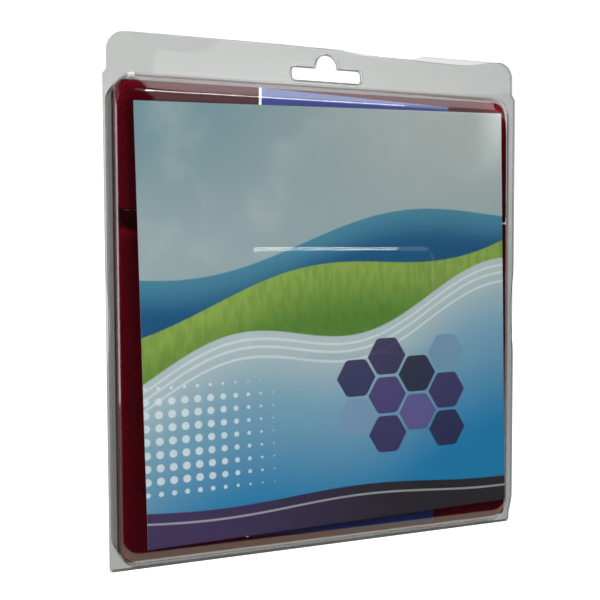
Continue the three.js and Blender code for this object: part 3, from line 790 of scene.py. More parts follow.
# The leaflet's pale top blue is a painted reflection of the film's top chamfer
LEAFLET_VEIL_BLUE = (104, 116, 160)
LEAFLET_WHITE = (214, 214, 216)
HEX_INKS = (
    (0, 0, (74, 58, 112)), (0, 1, (52, 40, 84)), (0, -1, (58, 44, 92)), (1, 0.5, (38, 34, 60)),
    (1, -0.5, (96, 84, 140)), (-1, 0.5, (50, 44, 90)), (-1, -0.5, (120, 150, 178)), (2, 0, (58, 46, 94)),
    (2, 1, (112, 146, 172)), (2, -1, (44, 38, 74)),
)


def ink(tone):
    """Linear colour of a print tone, lifted because it is seen through the film."""
    return (*(min(1.0, value * PRINT_GAIN) for value in srgb(*tone)[:3]), 1.0)


def skewed_size(box, skew):
    """Width and height of a sheet that fills a box while it is turned by a small angle."""
    wide, _, high = box.size()
    angle = abs(math.radians(skew))
    c, s, both = math.cos(angle), math.sin(angle), math.cos(2 * angle)
    return (wide * c - high * s) / both, (high * c - wide * s) / both


def turn_in_plane(x, z, box, skew):
    """Places a flat drawing at the middle of a box, turned anticlockwise as seen from the front."""
    c, s = math.cos(math.radians(skew)), math.sin(math.radians(skew))
    middle_x, _, middle_z = box.middle()
    return middle_x + x * c - z * s, middle_z + x * s + z * c


def print_place(tree, box, skew):
    """Place on a turned sheet, in millimetres from its middle: as a vector socket, and as x and z."""
    middle_x, _, middle_z = box.middle()
    turned = put(tree, "ShaderNodeMapping", {
        "Vector": put(tree, "ShaderNodeTexCoord").outputs["Object"],
        "Location": (middle_x * MM, 0.0, middle_z * MM),
        "Rotation": (0.0, math.radians(-skew), 0.0),
        "Scale": (MM, MM, MM),
    }, vector_type="TEXTURE").outputs[0]
    x, _, z = axes(tree, turned)
    return turned, x, z


def hexagon_group():
    """Node group of one round-cornered hexagon tile: 1 inside its edge and 0 outside, from a place and a
    centre in millimetres."""
    names = ("X", "Z", "Centre X", "Centre Z", "Half")
    group, start, end = new_group("hexagon_tile", dict.fromkeys(names, "Float"), "Inside")
    x, z = (abs(calc(group, "SUBTRACT", start[name], start["Centre " + name])) for name in ("X", "Z"))
    slant = x * math.sin(math.radians(60)) + z * 0.5
    far = calc(group, "SMOOTH_MAX", slant, z, HEX_ROUND)
    group.links.new(calc(group, "SUBTRACT", start["Half"], far).ease(*HEX_EDGE).socket, end["Inside"])
    return group


def wave_line(x, level, slope, height, length, phase):
    """Height of a wavy line at x, in millimetres."""
    wave = calc(x.tree, "SINE", x * (2 * math.pi / length) + phase)
    return wave * height + x * slope + level


def card_face():
    """Printed face of the card, a generic design in millimetres from the card's middle: a pale sky, wavy
    ribbons of green and blue, a honeycomb of purple tiles, rows of pale dots and a dark wavy foot."""
    material, tree = new_material("card_face")
    place, x, z = print_place(tree, card_box, CARD_SKEW)
    sky = x.ease(*SKY_ACROSS).mix(ink(SKY_LEFT), ink(SKY_RIGHT))
    sky = z.ease(*SKY_DOWN).mix(sky, ink(SKY_LOW))
    cloud = noise(tree, place, *CLOUD_NOISE).ease(*CLOUD_RANGE) * CLOUD_SHARE
    colour = cloud.mix(sky, ink(CLOUD))

    below = wave_line(x, *CREST_LINE) - z
    sea = below.ease(0.0, SEA_DEPTH).mix(ink(SEA_SHALLOW), ink(SEA_DEEP))
    colour = below.ease(*CREST_EDGE).mix(colour, sea)

    below = wave_line(x, *BANK_LINE) - z
    grass = below.ease(0.0, GRASS_DEPTH).mix(ink(GRASS_TOP), ink(GRASS_LOW))
    blades = put(tree, "ShaderNodeVectorMath", {0: place, 1: BLADE_STRETCH}, operation="MULTIPLY").outputs[0]
    blade = noise(tree, blades, *BLADE_NOISE).ease(*BLADE_RANGE) * BLADE_SHARE
    colour = below.ease(*RIBBON_EDGE).mix(colour, blade.mix(grass, ink(GRASS_BLADE)))

    below = wave_line(x, *SHORE_LINE) - z
    pool = below.ease(*POOL_DEPTHS[0]).mix(ink(POOL_EDGE), ink(POOL_SHALLOW))
    pool = below.ease(*POOL_DEPTHS[1]).mix(pool, ink(POOL_DEEP))
    colour = below.ease(*RIBBON_EDGE).mix(colour, pool)
    for depth in FOAM_LINES:
        foam = abs(below - depth).ease(*FOAM_EDGE) * FOAM_SHARE
        colour = foam.mix(colour, ink(FOAM))

    cell_x, cell_z = (calc(tree, "FRACT", value / DOT_PITCH) - 0.5 for value in (x, z))
    reach = calc(tree, "SQRT", cell_x * cell_x + cell_z * cell_z)
    fade = x.ease(*DOT_ACROSS) * z.ease(*DOT_TOP) * z.ease(*DOT_BOTTOM)
    dot = (reach - fade * DOT_RADIUS).ease(*DOT_EDGE) * DOT_SHARE
    colour = dot.mix(colour, ink(DOT))

    tile = hexagon_group()
    pitch = HEX_ACROSS + HEX_GAP
    for column, row, tone in HEX_INKS:
        node = put(tree, "ShaderNodeGroup", node_tree=tile)
        tree.links.new(x.socket, node.inputs["X"])
        tree.links.new(z.socket, node.inputs["Z"])
        node.inputs["Centre X"].default_value = HEX_CENTRE[0] + column * pitch * math.sin(math.radians(60))
        node.inputs["Centre Z"].default_value = HEX_CENTRE[1] + row * pitch
        node.inputs["Half"].default_value = HEX_ACROSS / 2
        colour = (Value(tree, node.outputs[0]) * HEX_SHARE).mix(colour, ink(tone))

    below = wave_line(x, *FOOT_LINE) - z
    dark = x.ease(*FOOT_ACROSS).mix(ink(FOOT_LEFT), ink(FOOT_RIGHT))
    colour = below.ease(*RIBBON_EDGE).mix(colour, dark)
    edge = abs(below - FOOT_EDGE).ease(*FOOT_EDGE_FADE) * FOOT_EDGE_SHARE
    colour = edge.mix(colour, ink(FOOT_PALE))
    grain = noise(tree, place, *GRAIN_NOISE) * GRAIN_SHARE
    colour = grain.mix(colour, BLACK)
    show(tree, principled(tree, base_color=colour, roughness=CARD_ROUGHNESS, specular=CARD_SPECULAR))
    return material


def leaflet_face():
    """Printed face of the leaflet: blue that darkens towards its bottom as painted shade and pales along its
    top as a painted reflection of the film's top chamfer, and a narrow white margin at its left.
    """
    material, tree = new_material("leaflet_face")
    _, x, z = print_place(tree, leaflet_box, LEAFLET_SKEW)
    edge = LEAFLET_MARGIN - skewed_size(leaflet_box, LEAFLET_SKEW)[0] / 2
    # Painted shade: the blue darkens towards the bottom of the leaflet
    blue = z.ease(*LEAFLET_SHADE).mix(ink(LEAFLET_SHADED_BLUE), ink(LEAFLET_LIT_BLUE))
    # Painted reflection: the blue pales where the film's top chamfer lies in front, standing for the veil
    # that it mirrors
    height = axes(tree, put(tree, "ShaderNodeTexCoord").outputs["Object"])[2]
    blue = height.ease(*(value * MM for value in LEAFLET_VEIL_HEIGHTS)).mix(blue, ink(LEAFLET_VEIL_BLUE))
    margin = x.ease(edge + LEAFLET_MARGIN_EDGE, edge - LEAFLET_MARGIN_EDGE)
    colour = margin.mix(blue, ink(LEAFLET_WHITE))
    show(tree, principled(tree, base_color=colour, roughness=LEAFLET_ROUGHNESS, specular=LEAFLET_SPECULAR))
    return material


def make_card():
    """Printed board: a turned rectangle with a slight bow towards the window and cut edges."""
    width, height = skewed_size(card_box, CARD_SKEW)
    x, z = np.meshgrid(*[edged_steps(0.5, CARD_STEPS)] * 2)
    bow = CARD_BOW * np.cos(math.pi * x) * np.cos(math.pi * z)
    across, up = turn_in_plane(x * width, z * height, card_box, CARD_SKEW)
    points = np.stack([across, card_box.front - bow, up], -1).reshape(-1, 3)
    points, faces, part = thicken(points, grid_faces(*x.shape), card_box.back - card_box.front)
    materials = [card_face(), board_edge]
    make_piece(
        "printed_card", points, faces, materials, "lid", "front_card", part, last=(INNER, RIM)
    )


def make_leaflet():
    """Leaflet folded in three: a zigzag seen from above, with round folds, carried up its height. Its top
    bends back a little over the wallet's rounded top."""
    width, height = skewed_size(leaflet_box, LEAFLET_SKEW)
    wide_fold = LEAFLET_PAPER + LEAFLET_FOLD_GAP / 2
    tight_fold = LEAFLET_FOLD_GAP / 2
    turn = np.radians(np.linspace(0, 180, LEAFLET_FOLD_STEPS))
    half = width / 2
    across = np.linspace(-half, half - wide_fold, LEAFLET_STEPS)
    middle = np.linspace(half - wide_fold, tight_fold + LEAFLET_PAPER - half, LEAFLET_STEPS)[1:-1]
    last = across[LEAFLET_SHORT_STEPS:]
    x = np.concatenate([
        across,
        half - wide_fold + wide_fold * np.sin(turn[1:]),
        middle,
        LEAFLET_PAPER + tight_fold - half - tight_fold * np.sin(turn),
        last,
    ])
    near = 2 * wide_fold
    y = np.concatenate([
        0 * across,
        wide_fold * (1 - np.cos(turn[1:])),
        np.full(len(middle), near),
        near + tight_fold * (1 - np.cos(turn)),
        np.full(len(last), near + 2 * tight_fold),
    ])
    z = edged_steps(height / 2, LEAFLET_UP_STEPS)
    across, up = turn_in_plane(x[None, :], z[:, None], leaflet_box, LEAFLET_SKEW)
    span = leaflet_box.top - LEAFLET_BEND_FROM
    bend = LEAFLET_BEND * np.clip((up - LEAFLET_BEND_FROM) / span, 0, 1) ** 2
    points = np.stack([across, leaflet_box.front + y + bend, up], -1).reshape(-1, 3)
    points, faces, part = thicken(points, grid_faces(len(z), len(x)), LEAFLET_PAPER)
    materials = [leaflet_face(), paper_edge]
    leaflet = make_piece(
        "folded_leaflet", points, faces, materials, "lid", "instruction_leaflet", part
    )
    lay_sheet(3 * width, height)


make_card()
make_leaflet()


# Wallet cover

COVER_EDGE = 5.0
COVER_CORNER = 7.0
COVER_STEPS = 121
COVER_PLY = 1.2
COVER_SPREAD = 0.6
BACK_SIDE_EDGE = 2.4
BACK_SIDE_POWER = 6
FIT_GAP = 0.3
POCKET_SLOPE = 6.4
POCKET_SLOPE_STEPS = 14
POCKET_EDGE = 2.6
POCKET_HALF_STEPS = 49
POCKET_TURN_STEPS = 10
POCKET_WALL_STEPS = 6
RIGHT_POCKET_EDGE = 1.0
RIGHT_POCKET_SLOPE = 0.5
FLAP_PLY = 1.3
FLAP_STEPS = 160
FLAP_TURN_STEPS = 15
FLAP_DOWN_STEPS = 40
FLAP_PUFF_FADE = (9.0, 1.0)
SIDE_ROLL = 1.6
SIDE_ROLL_WIDTH = 3.4
RIGHT_ROLL = 0.35
CORNER_ROLL = 2.7
CORNER_ROLL_WIDTH = 3.8
CORNER_ROLL_REACH = 11.0
SIDE_PUFF = 1.7
LEFT_PUFF = (5.9, 3.6)
RIGHT_PUFF = (2.2, 1.0)
HEM = 4.6
BINDING_LIFT = 0.12
TAPE_TUCK = 0.35
MOUTH_TAPE_BACK = 0.1
STRIP_EDGE_STEPS = 6
TAPE_STEPS = 8
TAPE_PATH_STEPS = 81
STITCH_LENGTH = 2.5
STITCH_PITCH = 3.2
STITCH_RADIUS = 0.2
STITCH_MARGIN = 1.1
STITCH_SHAPE = ((-1.0, 0.0), (-0.85, 0.6), (-0.4, 1.0), (0.4, 1.0), (0.85, 0.6), (1.0, 0.0))

# Slow waves of cloth, and the height and seed of each sheet's own
WAVE_COUNT = 6
WAVE_LENGTHS = (18, 60)
WAVE_PHASES = (0, 6.28)
BACK_WAVES = (0.4, 3)
POCKET_WAVES = (0.35, 5)
FLAP_WAVES = (0.2, 8)
# The flap's root under the back's hem: places behind the seam and above the top
FLAP_ROOT = np.array([(2.0, -1.5), (0.8, -1.1), (-0.4, -0.2), (-2.5, 0.0)])
back_seam = pocket_box.back + FIT_GAP
cover_half = back_panel_box.right + COVER_SPREAD


def quarter_round(distance, radius, power=2):
    """Share of the full depth at a distance inside an edge: a quarter circle, full from the radius on, or a
    squarer curve of a higher power."""
    return (1 - (1 - np.clip(distance / radius, 0, 1)) ** power) ** (1 / power)


def outline_half(z, half, bottom, top, corner):
    """Half width of a round-cornered outline at a height."""
    low = np.clip(1 - (z - bottom) / corner, 0, 1)
    high = np.clip(1 - (top - z) / corner, 0, 1)
    return half - corner * (1 - np.sqrt(1 - np.maximum(low, high) ** 2))


def soft_waves(x, z, height, seed):
    """Slow unevenness of cloth from 0 to a height: the mean of a few sine waves in seeded directions."""
    rng = np.random.default_rng(seed)
    ranges = (0, math.pi), WAVE_LENGTHS, WAVE_PHASES
    angle, length, phase = (rng.uniform(low, high, WAVE_COUNT) for low, high in ranges)
    along = x[..., None] * np.cos(angle) + z[..., None] * np.sin(angle)
    return height * (0.5 + 0.5 * np.sin(2 * math.pi * along / length + phase).mean(-1))


def side_puff(x, half):
    """How far the stuffed hem at each side stands forward of the flat cloth between the hems. The right one
    is narrow, because the card lies over it."""
    left = smooth_step(-x, *(half - inset for inset in LEFT_PUFF))
    return SIDE_PUFF * (left + smooth_step(x, *(half - inset for inset in RIGHT_PUFF)))


def cloth_piece(name, grid, thickness, inside_out, material, node):
    """A sheet of cloth from a grid of its outer face. Its UV map holds lengths along the grid's rows, from
    their middle, and along its columns, in millimetres."""
    across = run_lengths(grid.swapaxes(0, 1)).T
    across = across - across[:, [grid.shape[1] // 2]]
    uv = np.stack([across, run_lengths(grid)], -1).reshape(-1, 2)
    faces = grid_faces(*grid.shape[:2])
    points, faces, _ = thicken(grid.reshape(-1, 3), flipped(faces) if inside_out else faces, thickness)
    return make_piece(name, points, faces, [material], "pack", node, uv=np.concatenate([uv, uv]))


def make_cover_back():
    """Back of the cover: a sheet that fills the tray. Its edges fall to the seam as quarter circles at the
    top and bottom and more squarely at the sides."""
    bottom, top = back_panel_box.bottom, back_panel_box.top
    z = bottom + (top - bottom) * (1 + end_spaced(COVER_STEPS)[:, None]) / 2
    width = outline_half(z, cover_half, bottom, top, COVER_CORNER)
    x = end_spaced(COVER_STEPS) * width
    z = np.broadcast_to(z, x.shape)
    full = quarter_round(width - np.abs(x), BACK_SIDE_EDGE, BACK_SIDE_POWER)
    full = full * quarter_round(z - bottom, COVER_EDGE) * quarter_round(top - z, COVER_EDGE)
    depth = back_panel_box.back - back_seam
    grid = np.stack([x, back_seam + (depth - soft_waves(x, z, *BACK_WAVES)) * full, z], -1)
    piece = cloth_piece("wallet_back", grid, COVER_PLY, True, cover_cloth, "cover_back_panel")
    wide, high = 2 * cover_half + 2 * depth, top - bottom + 2 * depth
    lay_sheet(wide, high, cut=4 * depth**2)


def make_pocket():
    """Front of the cover: a sheet with hems that turn back as quarter circles at its sides and run straight
    to the side seam. It falls to the seam at its bottom, is open at its mouth, and swells below the flap to
    the flap's own level."""
    bottom, mouth = pocket_box.bottom, pocket_box.top
    rise = 1 - np.cos(math.pi / 2 * np.linspace(0, 1, COVER_STEPS))
    step = flap_tape_box.bottom - FIT_GAP
    slope_rows = np.linspace(step - POCKET_SLOPE, step, POCKET_SLOPE_STEPS)
    z = np.unique(np.concatenate([bottom + (mouth - bottom) * rise, slope_rows]))[:, None]
    width = outline_half(z, cover_half, bottom, math.inf, COVER_CORNER)
    flat = np.arange(POCKET_HALF_STEPS) / POCKET_HALF_STEPS
    turn = np.radians(np.linspace(0, 90, POCKET_TURN_STEPS))
    wall = np.linspace(0, 1, POCKET_WALL_STEPS)[1:]
    ones = np.ones_like(wall)
    share = np.concatenate([flat, np.ones_like(turn), ones])
    over = np.concatenate([0 * flat, np.sin(turn), ones])
    back = np.concatenate([0 * flat, 1 - np.cos(turn), ones])
    seam = np.concatenate([0 * flat, 0 * turn, wall])
    share, over = (np.concatenate([-side[:0:-1], side]) for side in (share, over))
    back, seam = (np.concatenate([side[:0:-1], side]) for side in (back, seam))
    edge = np.where(share > 0, RIGHT_POCKET_EDGE, POCKET_EDGE)
    x = share * (width - edge) + over * edge
    z = np.broadcast_to(z, x.shape)
    slope = POCKET_SLOPE + (RIGHT_POCKET_SLOPE - POCKET_SLOPE) * smooth_step(x, 0, cover_half)
    swell = 1 - smooth_step((z - step) / slope, -1, 0)
    face = loop_box.back + FIT_GAP
    full = pocket_box.front - face - side_puff(x, cover_half)
    front = face + full * swell + soft_waves(x, z, *POCKET_WAVES)
    y = (front + back * edge) * (1 - seam) + back_seam * seam
    y = back_seam + (y - back_seam) * quarter_round(z - bottom, COVER_EDGE)
    grid = np.stack([x, y, z], -1)
    node = "cover_front_panel"
    piece = cloth_piece("wallet_pocket", grid, COVER_PLY, False, cover_cloth, node)
    depth = pocket_box.back - pocket_box.front
    wide, high = 2 * cover_half + 2 * depth, mouth - bottom + depth
    lay_sheet(wide, high, cut=2 * depth**2)


def strip_section(steps):
    """Closed section of a flat strip with round edges: each point's share of the flat half width, and its
    direction, across and out, from there."""
    across = np.linspace(-1, 1, steps + 1)
    turn = np.radians(np.linspace(90, -90, STRIP_EDGE_STEPS + 1)[1:-1])
    ones = np.ones_like
    share = np.concatenate([across, ones(turn), -across, -ones(turn)])
    over = np.concatenate([0 * across, np.cos(turn), 0 * across, -np.cos(turn)])
    out = np.concatenate([ones(across), np.sin(turn), -ones(across), -np.sin(turn)])
    return share, over, out


def sweep_strip(path, across, out, half, thickness, steps, roll=0.0, roll_width=1.0):
    """A flat strip with round edges carried along a path and closed flat at both ends, where the path's end
    points are doubled. Its section lies in the across and out directions; roll moves its edges in, by the
    square of their way to the edge, and less on the right."""
    count = len(path)
    ends = np.concatenate([[0], np.arange(count), [count - 1]])
    path, across, out = (np.broadcast_to(value, (count, 3))[ends] for value in (path, across, out))
    roll, roll_width = (np.broadcast_to(value, count)[ends, None] for value in (roll, roll_width))
    radius = np.full((count + 2, 1), thickness / 2)
    radius[[0, -1]] = 0
    share, over, outward = strip_section(steps)
    wide = share * (half - thickness / 2) + radius * over
    roll = np.where(wide > 0, RIGHT_ROLL, 1) * roll
    high = radius * outward - roll * np.clip((np.abs(wide) - half) / roll_width + 1, 0, 1) ** 2
    grid = path[:, None] + across[:, None] * wide[..., None] + out[:, None] * high[..., None]
    uv = np.stack([wide, np.broadcast_to(run_lengths(path)[:, None], wide.shape)], -1).reshape(-1, 2)
    faces = flipped(grid_faces(count + 2, len(share), closed=True))
    points, faces, kept = weld(grid.reshape(-1, 3), faces)
    return points, faces, uv[kept]


def upright_path(y, z, angle):
    """Points of a path in the plane of Y and Z, and the out directions that its angles give."""
    zero = np.zeros(len(y))
    return np.stack([zero, y, z], -1), np.stack([zero, np.cos(angle), np.sin(angle)], -1)


def make_flap():
    """Flap: one sheet from under the back panel's top hem, over the top along a quarter circle and down the
    front. Its top corners are round and its sides roll back."""
    radius = COVER_EDGE - FLAP_PLY / 2
    front, top = flap_box.front + FLAP_PLY / 2, back_panel_box.top - FLAP_PLY / 2
    bend = top - radius
    turn = np.radians(np.linspace(90, 180, FLAP_TURN_STEPS))
    down = np.linspace(bend, flap_box.bottom, FLAP_DOWN_STEPS)[1:]
    root_y, root_z = FLAP_ROOT.T
    over = front + radius + radius * np.cos(turn)
    y = np.concatenate([back_seam + root_y, over, np.full(len(down), front)])
    z = np.concatenate([top + root_z, bend + radius * np.sin(turn), down])
    angle = np.concatenate([np.full(len(root_y), math.pi / 2), turn, np.full(len(down), math.pi)])
    path, out = upright_path(y, z, angle)
    corner = smooth_step(z, bend - CORNER_ROLL_REACH, bend)
    roll_width = SIDE_ROLL_WIDTH + (CORNER_ROLL_WIDTH - SIDE_ROLL_WIDTH) * corner
    points, faces, uv = sweep_strip(
        path, X_AXIS, out, cover_half, FLAP_PLY, FLAP_STEPS, SIDE_ROLL + CORNER_ROLL * corner, roll_width
    )
    x, _, z = points.T
    fade = smooth_step(z, *(top - below for below in FLAP_PUFF_FADE))
    clear = smooth_step(z, flap_box.bottom + HEM, flap_box.bottom + 2 * HEM) * (z < bend)
    points[:, 1] += clear * soft_waves(x, z, *FLAP_WAVES) - side_puff(x, cover_half) * (1 - fade)
    piece = make_piece("wallet_flap", points, faces, [cover_cloth], None, "cover_flap", uv=uv)
    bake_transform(piece)
    lay_sheet(2 * cover_half, run_lengths(path)[-1])


def stitch_row(centres, along, across, out):
    """A row of stitches: at each centre a short thread along the row, a tube that narrows to its ends and
    dips there into the cloth by the square of the way to them."""
    way, width = np.array(STITCH_SHAPE).T
    turn = np.radians(np.arange(0, 360, 60))
    ring = np.cos(turn)[:, None] * across + np.sin(turn)[:, None] * out
    tube = (way[:, None] * along * STITCH_LENGTH / 2 - way[:, None] ** 2 * out * STITCH_RADIUS)[:, None]
    tube = tube + width[:, None, None] * ring[None] * STITCH_RADIUS
    points = centres[:, None] + tube.reshape(1, -1, 3)
    faces = grid_faces(len(way), len(turn), closed=True)
    faces = faces[None] + np.arange(len(centres))[:, None, None] * len(way) * len(turn)
    return points.reshape(-1, 3), faces.reshape(-1, 4)


def tape_lift(along, half, end_roll):
    """How far a tape's middle line stands out at a distance along it. A tape whose ends roll in with the
    flap's sides also stands out over the stuffed hems; any other is straight."""
    share = np.clip((np.abs(along) - half) / SIDE_ROLL_WIDTH + 1, 0, 1)
    return side_puff(along, half) * (end_roll > 0) - end_roll * share**2


def make_tape(name, node, body, material, axis, out, centre, size, rows=(), end_roll=0.0):
    """A straight tape with round edges along an axis, with a length, width and thickness. Rows of stitches at
    distances from its middle line sew it on."""
    length, width, thickness = size
    half = length / 2
    across = np.cross(out, axis)
    reach = half - STITCH_PITCH
    spots = half * end_spaced(TAPE_PATH_STEPS), np.linspace(-reach, reach, int(2 * reach / STITCH_PITCH) + 1)
    path, places = (
        centre + along[:, None] * axis + tape_lift(along, half, end_roll)[:, None] * out for along in spots
    )
    points, faces, uv = sweep_strip(path, across, out, width / 2, thickness, TAPE_STEPS)
    part = np.full(len(faces), OUTER)
    for row in rows:
        more, quads = stitch_row(places + row * across + thickness / 2 * out, axis, across, out)
        faces = np.concatenate([faces, quads + len(points)])
        points = np.concatenate([points, more])
        uv = np.concatenate([uv, np.zeros((len(more), 2))])
        part = np.concatenate([part, np.full(len(quads), RIM)])
    materials = [material, sewing_thread] if rows else [material]
    make_piece(name, points, faces, materials, body, node, part, uv, flat=())


def make_bindings():
    """Tapes sewn over the flap's lower edge, the pocket's mouth and the two side seams."""
    seam = HEM / 2 - STITCH_MARGIN
    (_, y, _), (_, depth, _) = flap_tape_box.middle(), flap_tape_box.size()
    make_tape(
        "flap_edge_tape", "flap_binding", "flap", binding_cloth, X_AXIS, -Y_AXIS,
        (0, y, flap_tape_box.bottom + HEM / 2),
        (2 * (cover_half + BINDING_LIFT), HEM, depth + 2 * BINDING_LIFT), (seam,), SIDE_ROLL,
    )
    (_, y, _), (width, depth, _) = mouth_tape_box.middle(), mouth_tape_box.size()
    make_tape(
        "mouth_tape", "mouth_binding", "pack", binding_cloth, X_AXIS, -Y_AXIS,
        (0, y + MOUTH_TAPE_BACK, mouth_tape_box.top - HEM / 2),
        (width, HEM, depth + 4 * BINDING_LIFT), (-seam,),
    )
    for side, sign in (("left", -1), ("right", 1)):
        node = "cover_binding_" + side
        centre = Box(node).middle() - sign * TAPE_TUCK * X_AXIS
        thickness, width, length = Box(node).size()
        make_tape(
            "side_tape_" + side, node, "pack", binding_cloth, Z_AXIS, sign * X_AXIS, centre,
            (length, width, thickness),
        )


def make_closure():
    """Hook tape under the flap and loop tape on the pocket: flat tapes with round edges."""
    tapes = ("hook", "flap", Y_AXIS, hook_nylon), ("loop", "pack", -Y_AXIS, loop_pile)
    for kind, body, out, material in tapes:
        box = Box(kind + "_strip")
        length, thickness, width = box.size()
        seam = width / 2 - STITCH_MARGIN
        make_tape(
            kind + "_tape", kind + "_strip", body, material, X_AXIS, out,
            (0, *box.middle()[1:]), (length, width, thickness), (-seam, seam),
        )


make_cover_back()
make_pocket()
make_flap()
make_bindings()
make_closure()


# Crystal pouch

POUCH_MARGIN = 5.0
POUCH_CORNER = 4.0
PLY_STEPS = (97, 113)
LINING_STEPS = (61, 61)
LINING_WAVE = 0.2
CHANNELS = 4
CHANNEL_SEAM = 3.0
QUILT_DIP = 1.1
QUILT_ROUND = 9.0
GUSSET_STEPS = 30
GUSSET_TURN_STEPS = 9
CRYSTAL_STEPS = (97, 29)
CRYSTAL_EDGE = 4.0
CRYSTAL_GRAIN = (0.78, 1.0)
CRYSTAL_SEED = 20


def quilt_dip(box, x, z):
    """How far a quilted ply is drawn in: not at all over each channel, and by quarter circles down to its
    seams and edges."""
    pitch = (box.top - box.bottom - 2 * POUCH_MARGIN + CHANNEL_SEAM) / CHANNELS
    first = box.bottom + POUCH_MARGIN - CHANNEL_SEAM / 2
    to_seam = np.abs((z - first + pitch / 2) % pitch - pitch / 2)
    to_side = np.minimum(x - box.left, box.right - x) - POUCH_MARGIN / 2
    return QUILT_DIP * (1 - quarter_round(to_seam, QUILT_ROUND) * quarter_round(to_side, QUILT_ROUND))


def make_ply(name, node, outward, material, steps, seed=None):
    """One ply of the pouch: quilted or, where a seed is given, a nearly flat lining with slow waves."""
    box = Box(node)
    width, depth, height = box.size()
    x, z = np.meshgrid(np.linspace(box.left, box.right, steps[0]), np.linspace(box.bottom, box.top, steps[1]))
    dip = quilt_dip(box, x, z) if seed is None else soft_waves(x, z, LINING_WAVE, seed) - LINING_WAVE / 2
    face = box.front if outward < 0 else box.back
    grid = np.stack([x, face - outward * dip, z], -1)
    piece = cloth_piece(name, grid, depth, outward > 0, material, node)
    lay_sheet(width, height)


def make_gusset():
    """Tape that joins both sides of the pouch: a flat strip down one side, round the bottom and up the
    other, mirrored from one half."""
    thickness = gusset_box.right - pouch_box.right
    half = gusset_box.right - thickness / 2
    bottom = gusset_box.bottom + (pouch_box.bottom - gusset_box.bottom) / 2
    turn = np.radians(np.linspace(180, 270, GUSSET_TURN_STEPS))[1:-1]
    side = np.linspace(gusset_box.top, bottom + POUCH_CORNER, GUSSET_STEPS)
    floor = np.linspace(POUCH_CORNER - half, half - POUCH_CORNER, GUSSET_STEPS)
    steps = np.ones(GUSSET_STEPS)
    x = np.concatenate([-half * steps, POUCH_CORNER * (1 + np.cos(turn)) - half])
    z = np.concatenate([side, bottom + POUCH_CORNER * (1 + np.sin(turn))])
    angle = np.concatenate([math.pi * steps, turn])
    x = np.concatenate([x, floor, -x[::-1]])
    z = np.concatenate([z, bottom * steps, z[::-1]])
    angle = np.concatenate([angle, 1.5 * math.pi * steps, 3 * math.pi - angle[::-1]])
    path = np.stack([x, np.full(len(x), gusset_box.middle()[1]), z], -1)
    out = np.stack([np.cos(angle), 0 * angle, np.sin(angle)], -1)
    width = gusset_box.back - gusset_box.front
    points, faces, uv = sweep_strip(path, -Y_AXIS, out, width / 2, thickness, TAPE_STEPS)
    make_piece("pouch_gusset", points, faces, [pouch_cloth], "pack", "pouch_binding", uv=uv)


def make_crystals(name, node, seed):
    """Dry crystals in one channel: a pillow, thin at its edges, with a grainy face on both sides."""
    box = Box(node)
    rng = np.random.default_rng(seed)
    columns, rows = CRYSTAL_STEPS
    x, z = np.meshgrid(np.linspace(box.left, box.right, columns), np.linspace(box.bottom, box.top, rows))
    full = quarter_round(np.minimum(x - box.left, box.right - x), CRYSTAL_EDGE)
    full = full * quarter_round(np.minimum(z - box.bottom, box.top - z), CRYSTAL_EDGE)
    middle, half = (box.front + box.back) / 2, (box.back - box.front) / 2
    sides = [
        np.stack([x, middle + sign * half * full * rng.uniform(*CRYSTAL_GRAIN, x.shape), z], -1)
        for sign in (-1, 1)
    ]
    faces = grid_faces(*x.shape)
    faces = np.concatenate([faces, flipped(faces) + x.size])
    points, faces, _ = weld(np.concatenate(sides).reshape(-1, 3), faces)
    make_piece(name, points, faces, [crystal_grain], "pack", node)


make_ply("pouch_front", "pouch_front_panel", -1, pouch_cloth, PLY_STEPS)
make_ply("pouch_back", "pouch_back_panel", 1, pouch_cloth, PLY_STEPS)
make_ply("lining_front", "pouch_lining_front", -1, lining_cloth, LINING_STEPS, seed=11)
make_ply("lining_back", "pouch_lining_back", 1, lining_cloth, LINING_STEPS, seed=12)
make_gusset()
for side in ("front", "back"):
    for channel in range(1, CHANNELS + 1):
        place = f"{side}_{channel}"
        make_crystals("crystals_" + place, "crystal_fill_" + place, CRYSTAL_SEED + channel)


# Hinge

HINGE_SHEET = 0.4
HINGE_STEPS = 40
HINGE_LAP = 0.05
HINGE_LIP = np.array([0.1, -0.2])
HINGE_TURN = (180, 265)
HINGE_TURN_STEPS = 9


def make_hinge():
    """Fold between the two sheets: a thin strip that turns from the front sheet's foot back to the rear
    one's."""
    front_y = front_box.back - SHEET / 2
    rear_y = rear_box.front - HINGE_LAP
    radius = rear_y - front_y
    turn = np.radians(np.linspace(*HINGE_TURN, HINGE_TURN_STEPS))
    y = np.concatenate([[front_y, front_y], rear_y + radius * np.cos(turn)])
    z = np.concatenate([front_box.bottom + HINGE_LIP, HINGE_SHEET / 2 + radius + radius * np.sin(turn)])
    path, out = upright_path(y, z, np.concatenate([[math.pi, math.pi], turn]))
    half = hinge_box.right - RIGHT_TRIM / 2
    path = path - RIGHT_TRIM / 2 * X_AXIS
    points, faces, _ = sweep_strip(path, X_AXIS, out, half, HINGE_SHEET, HINGE_STEPS)
    piece = make_piece("hinge_fold", points, faces, [film_edge], None, "living_hinge")
    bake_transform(piece)


make_hinge()


# Studio

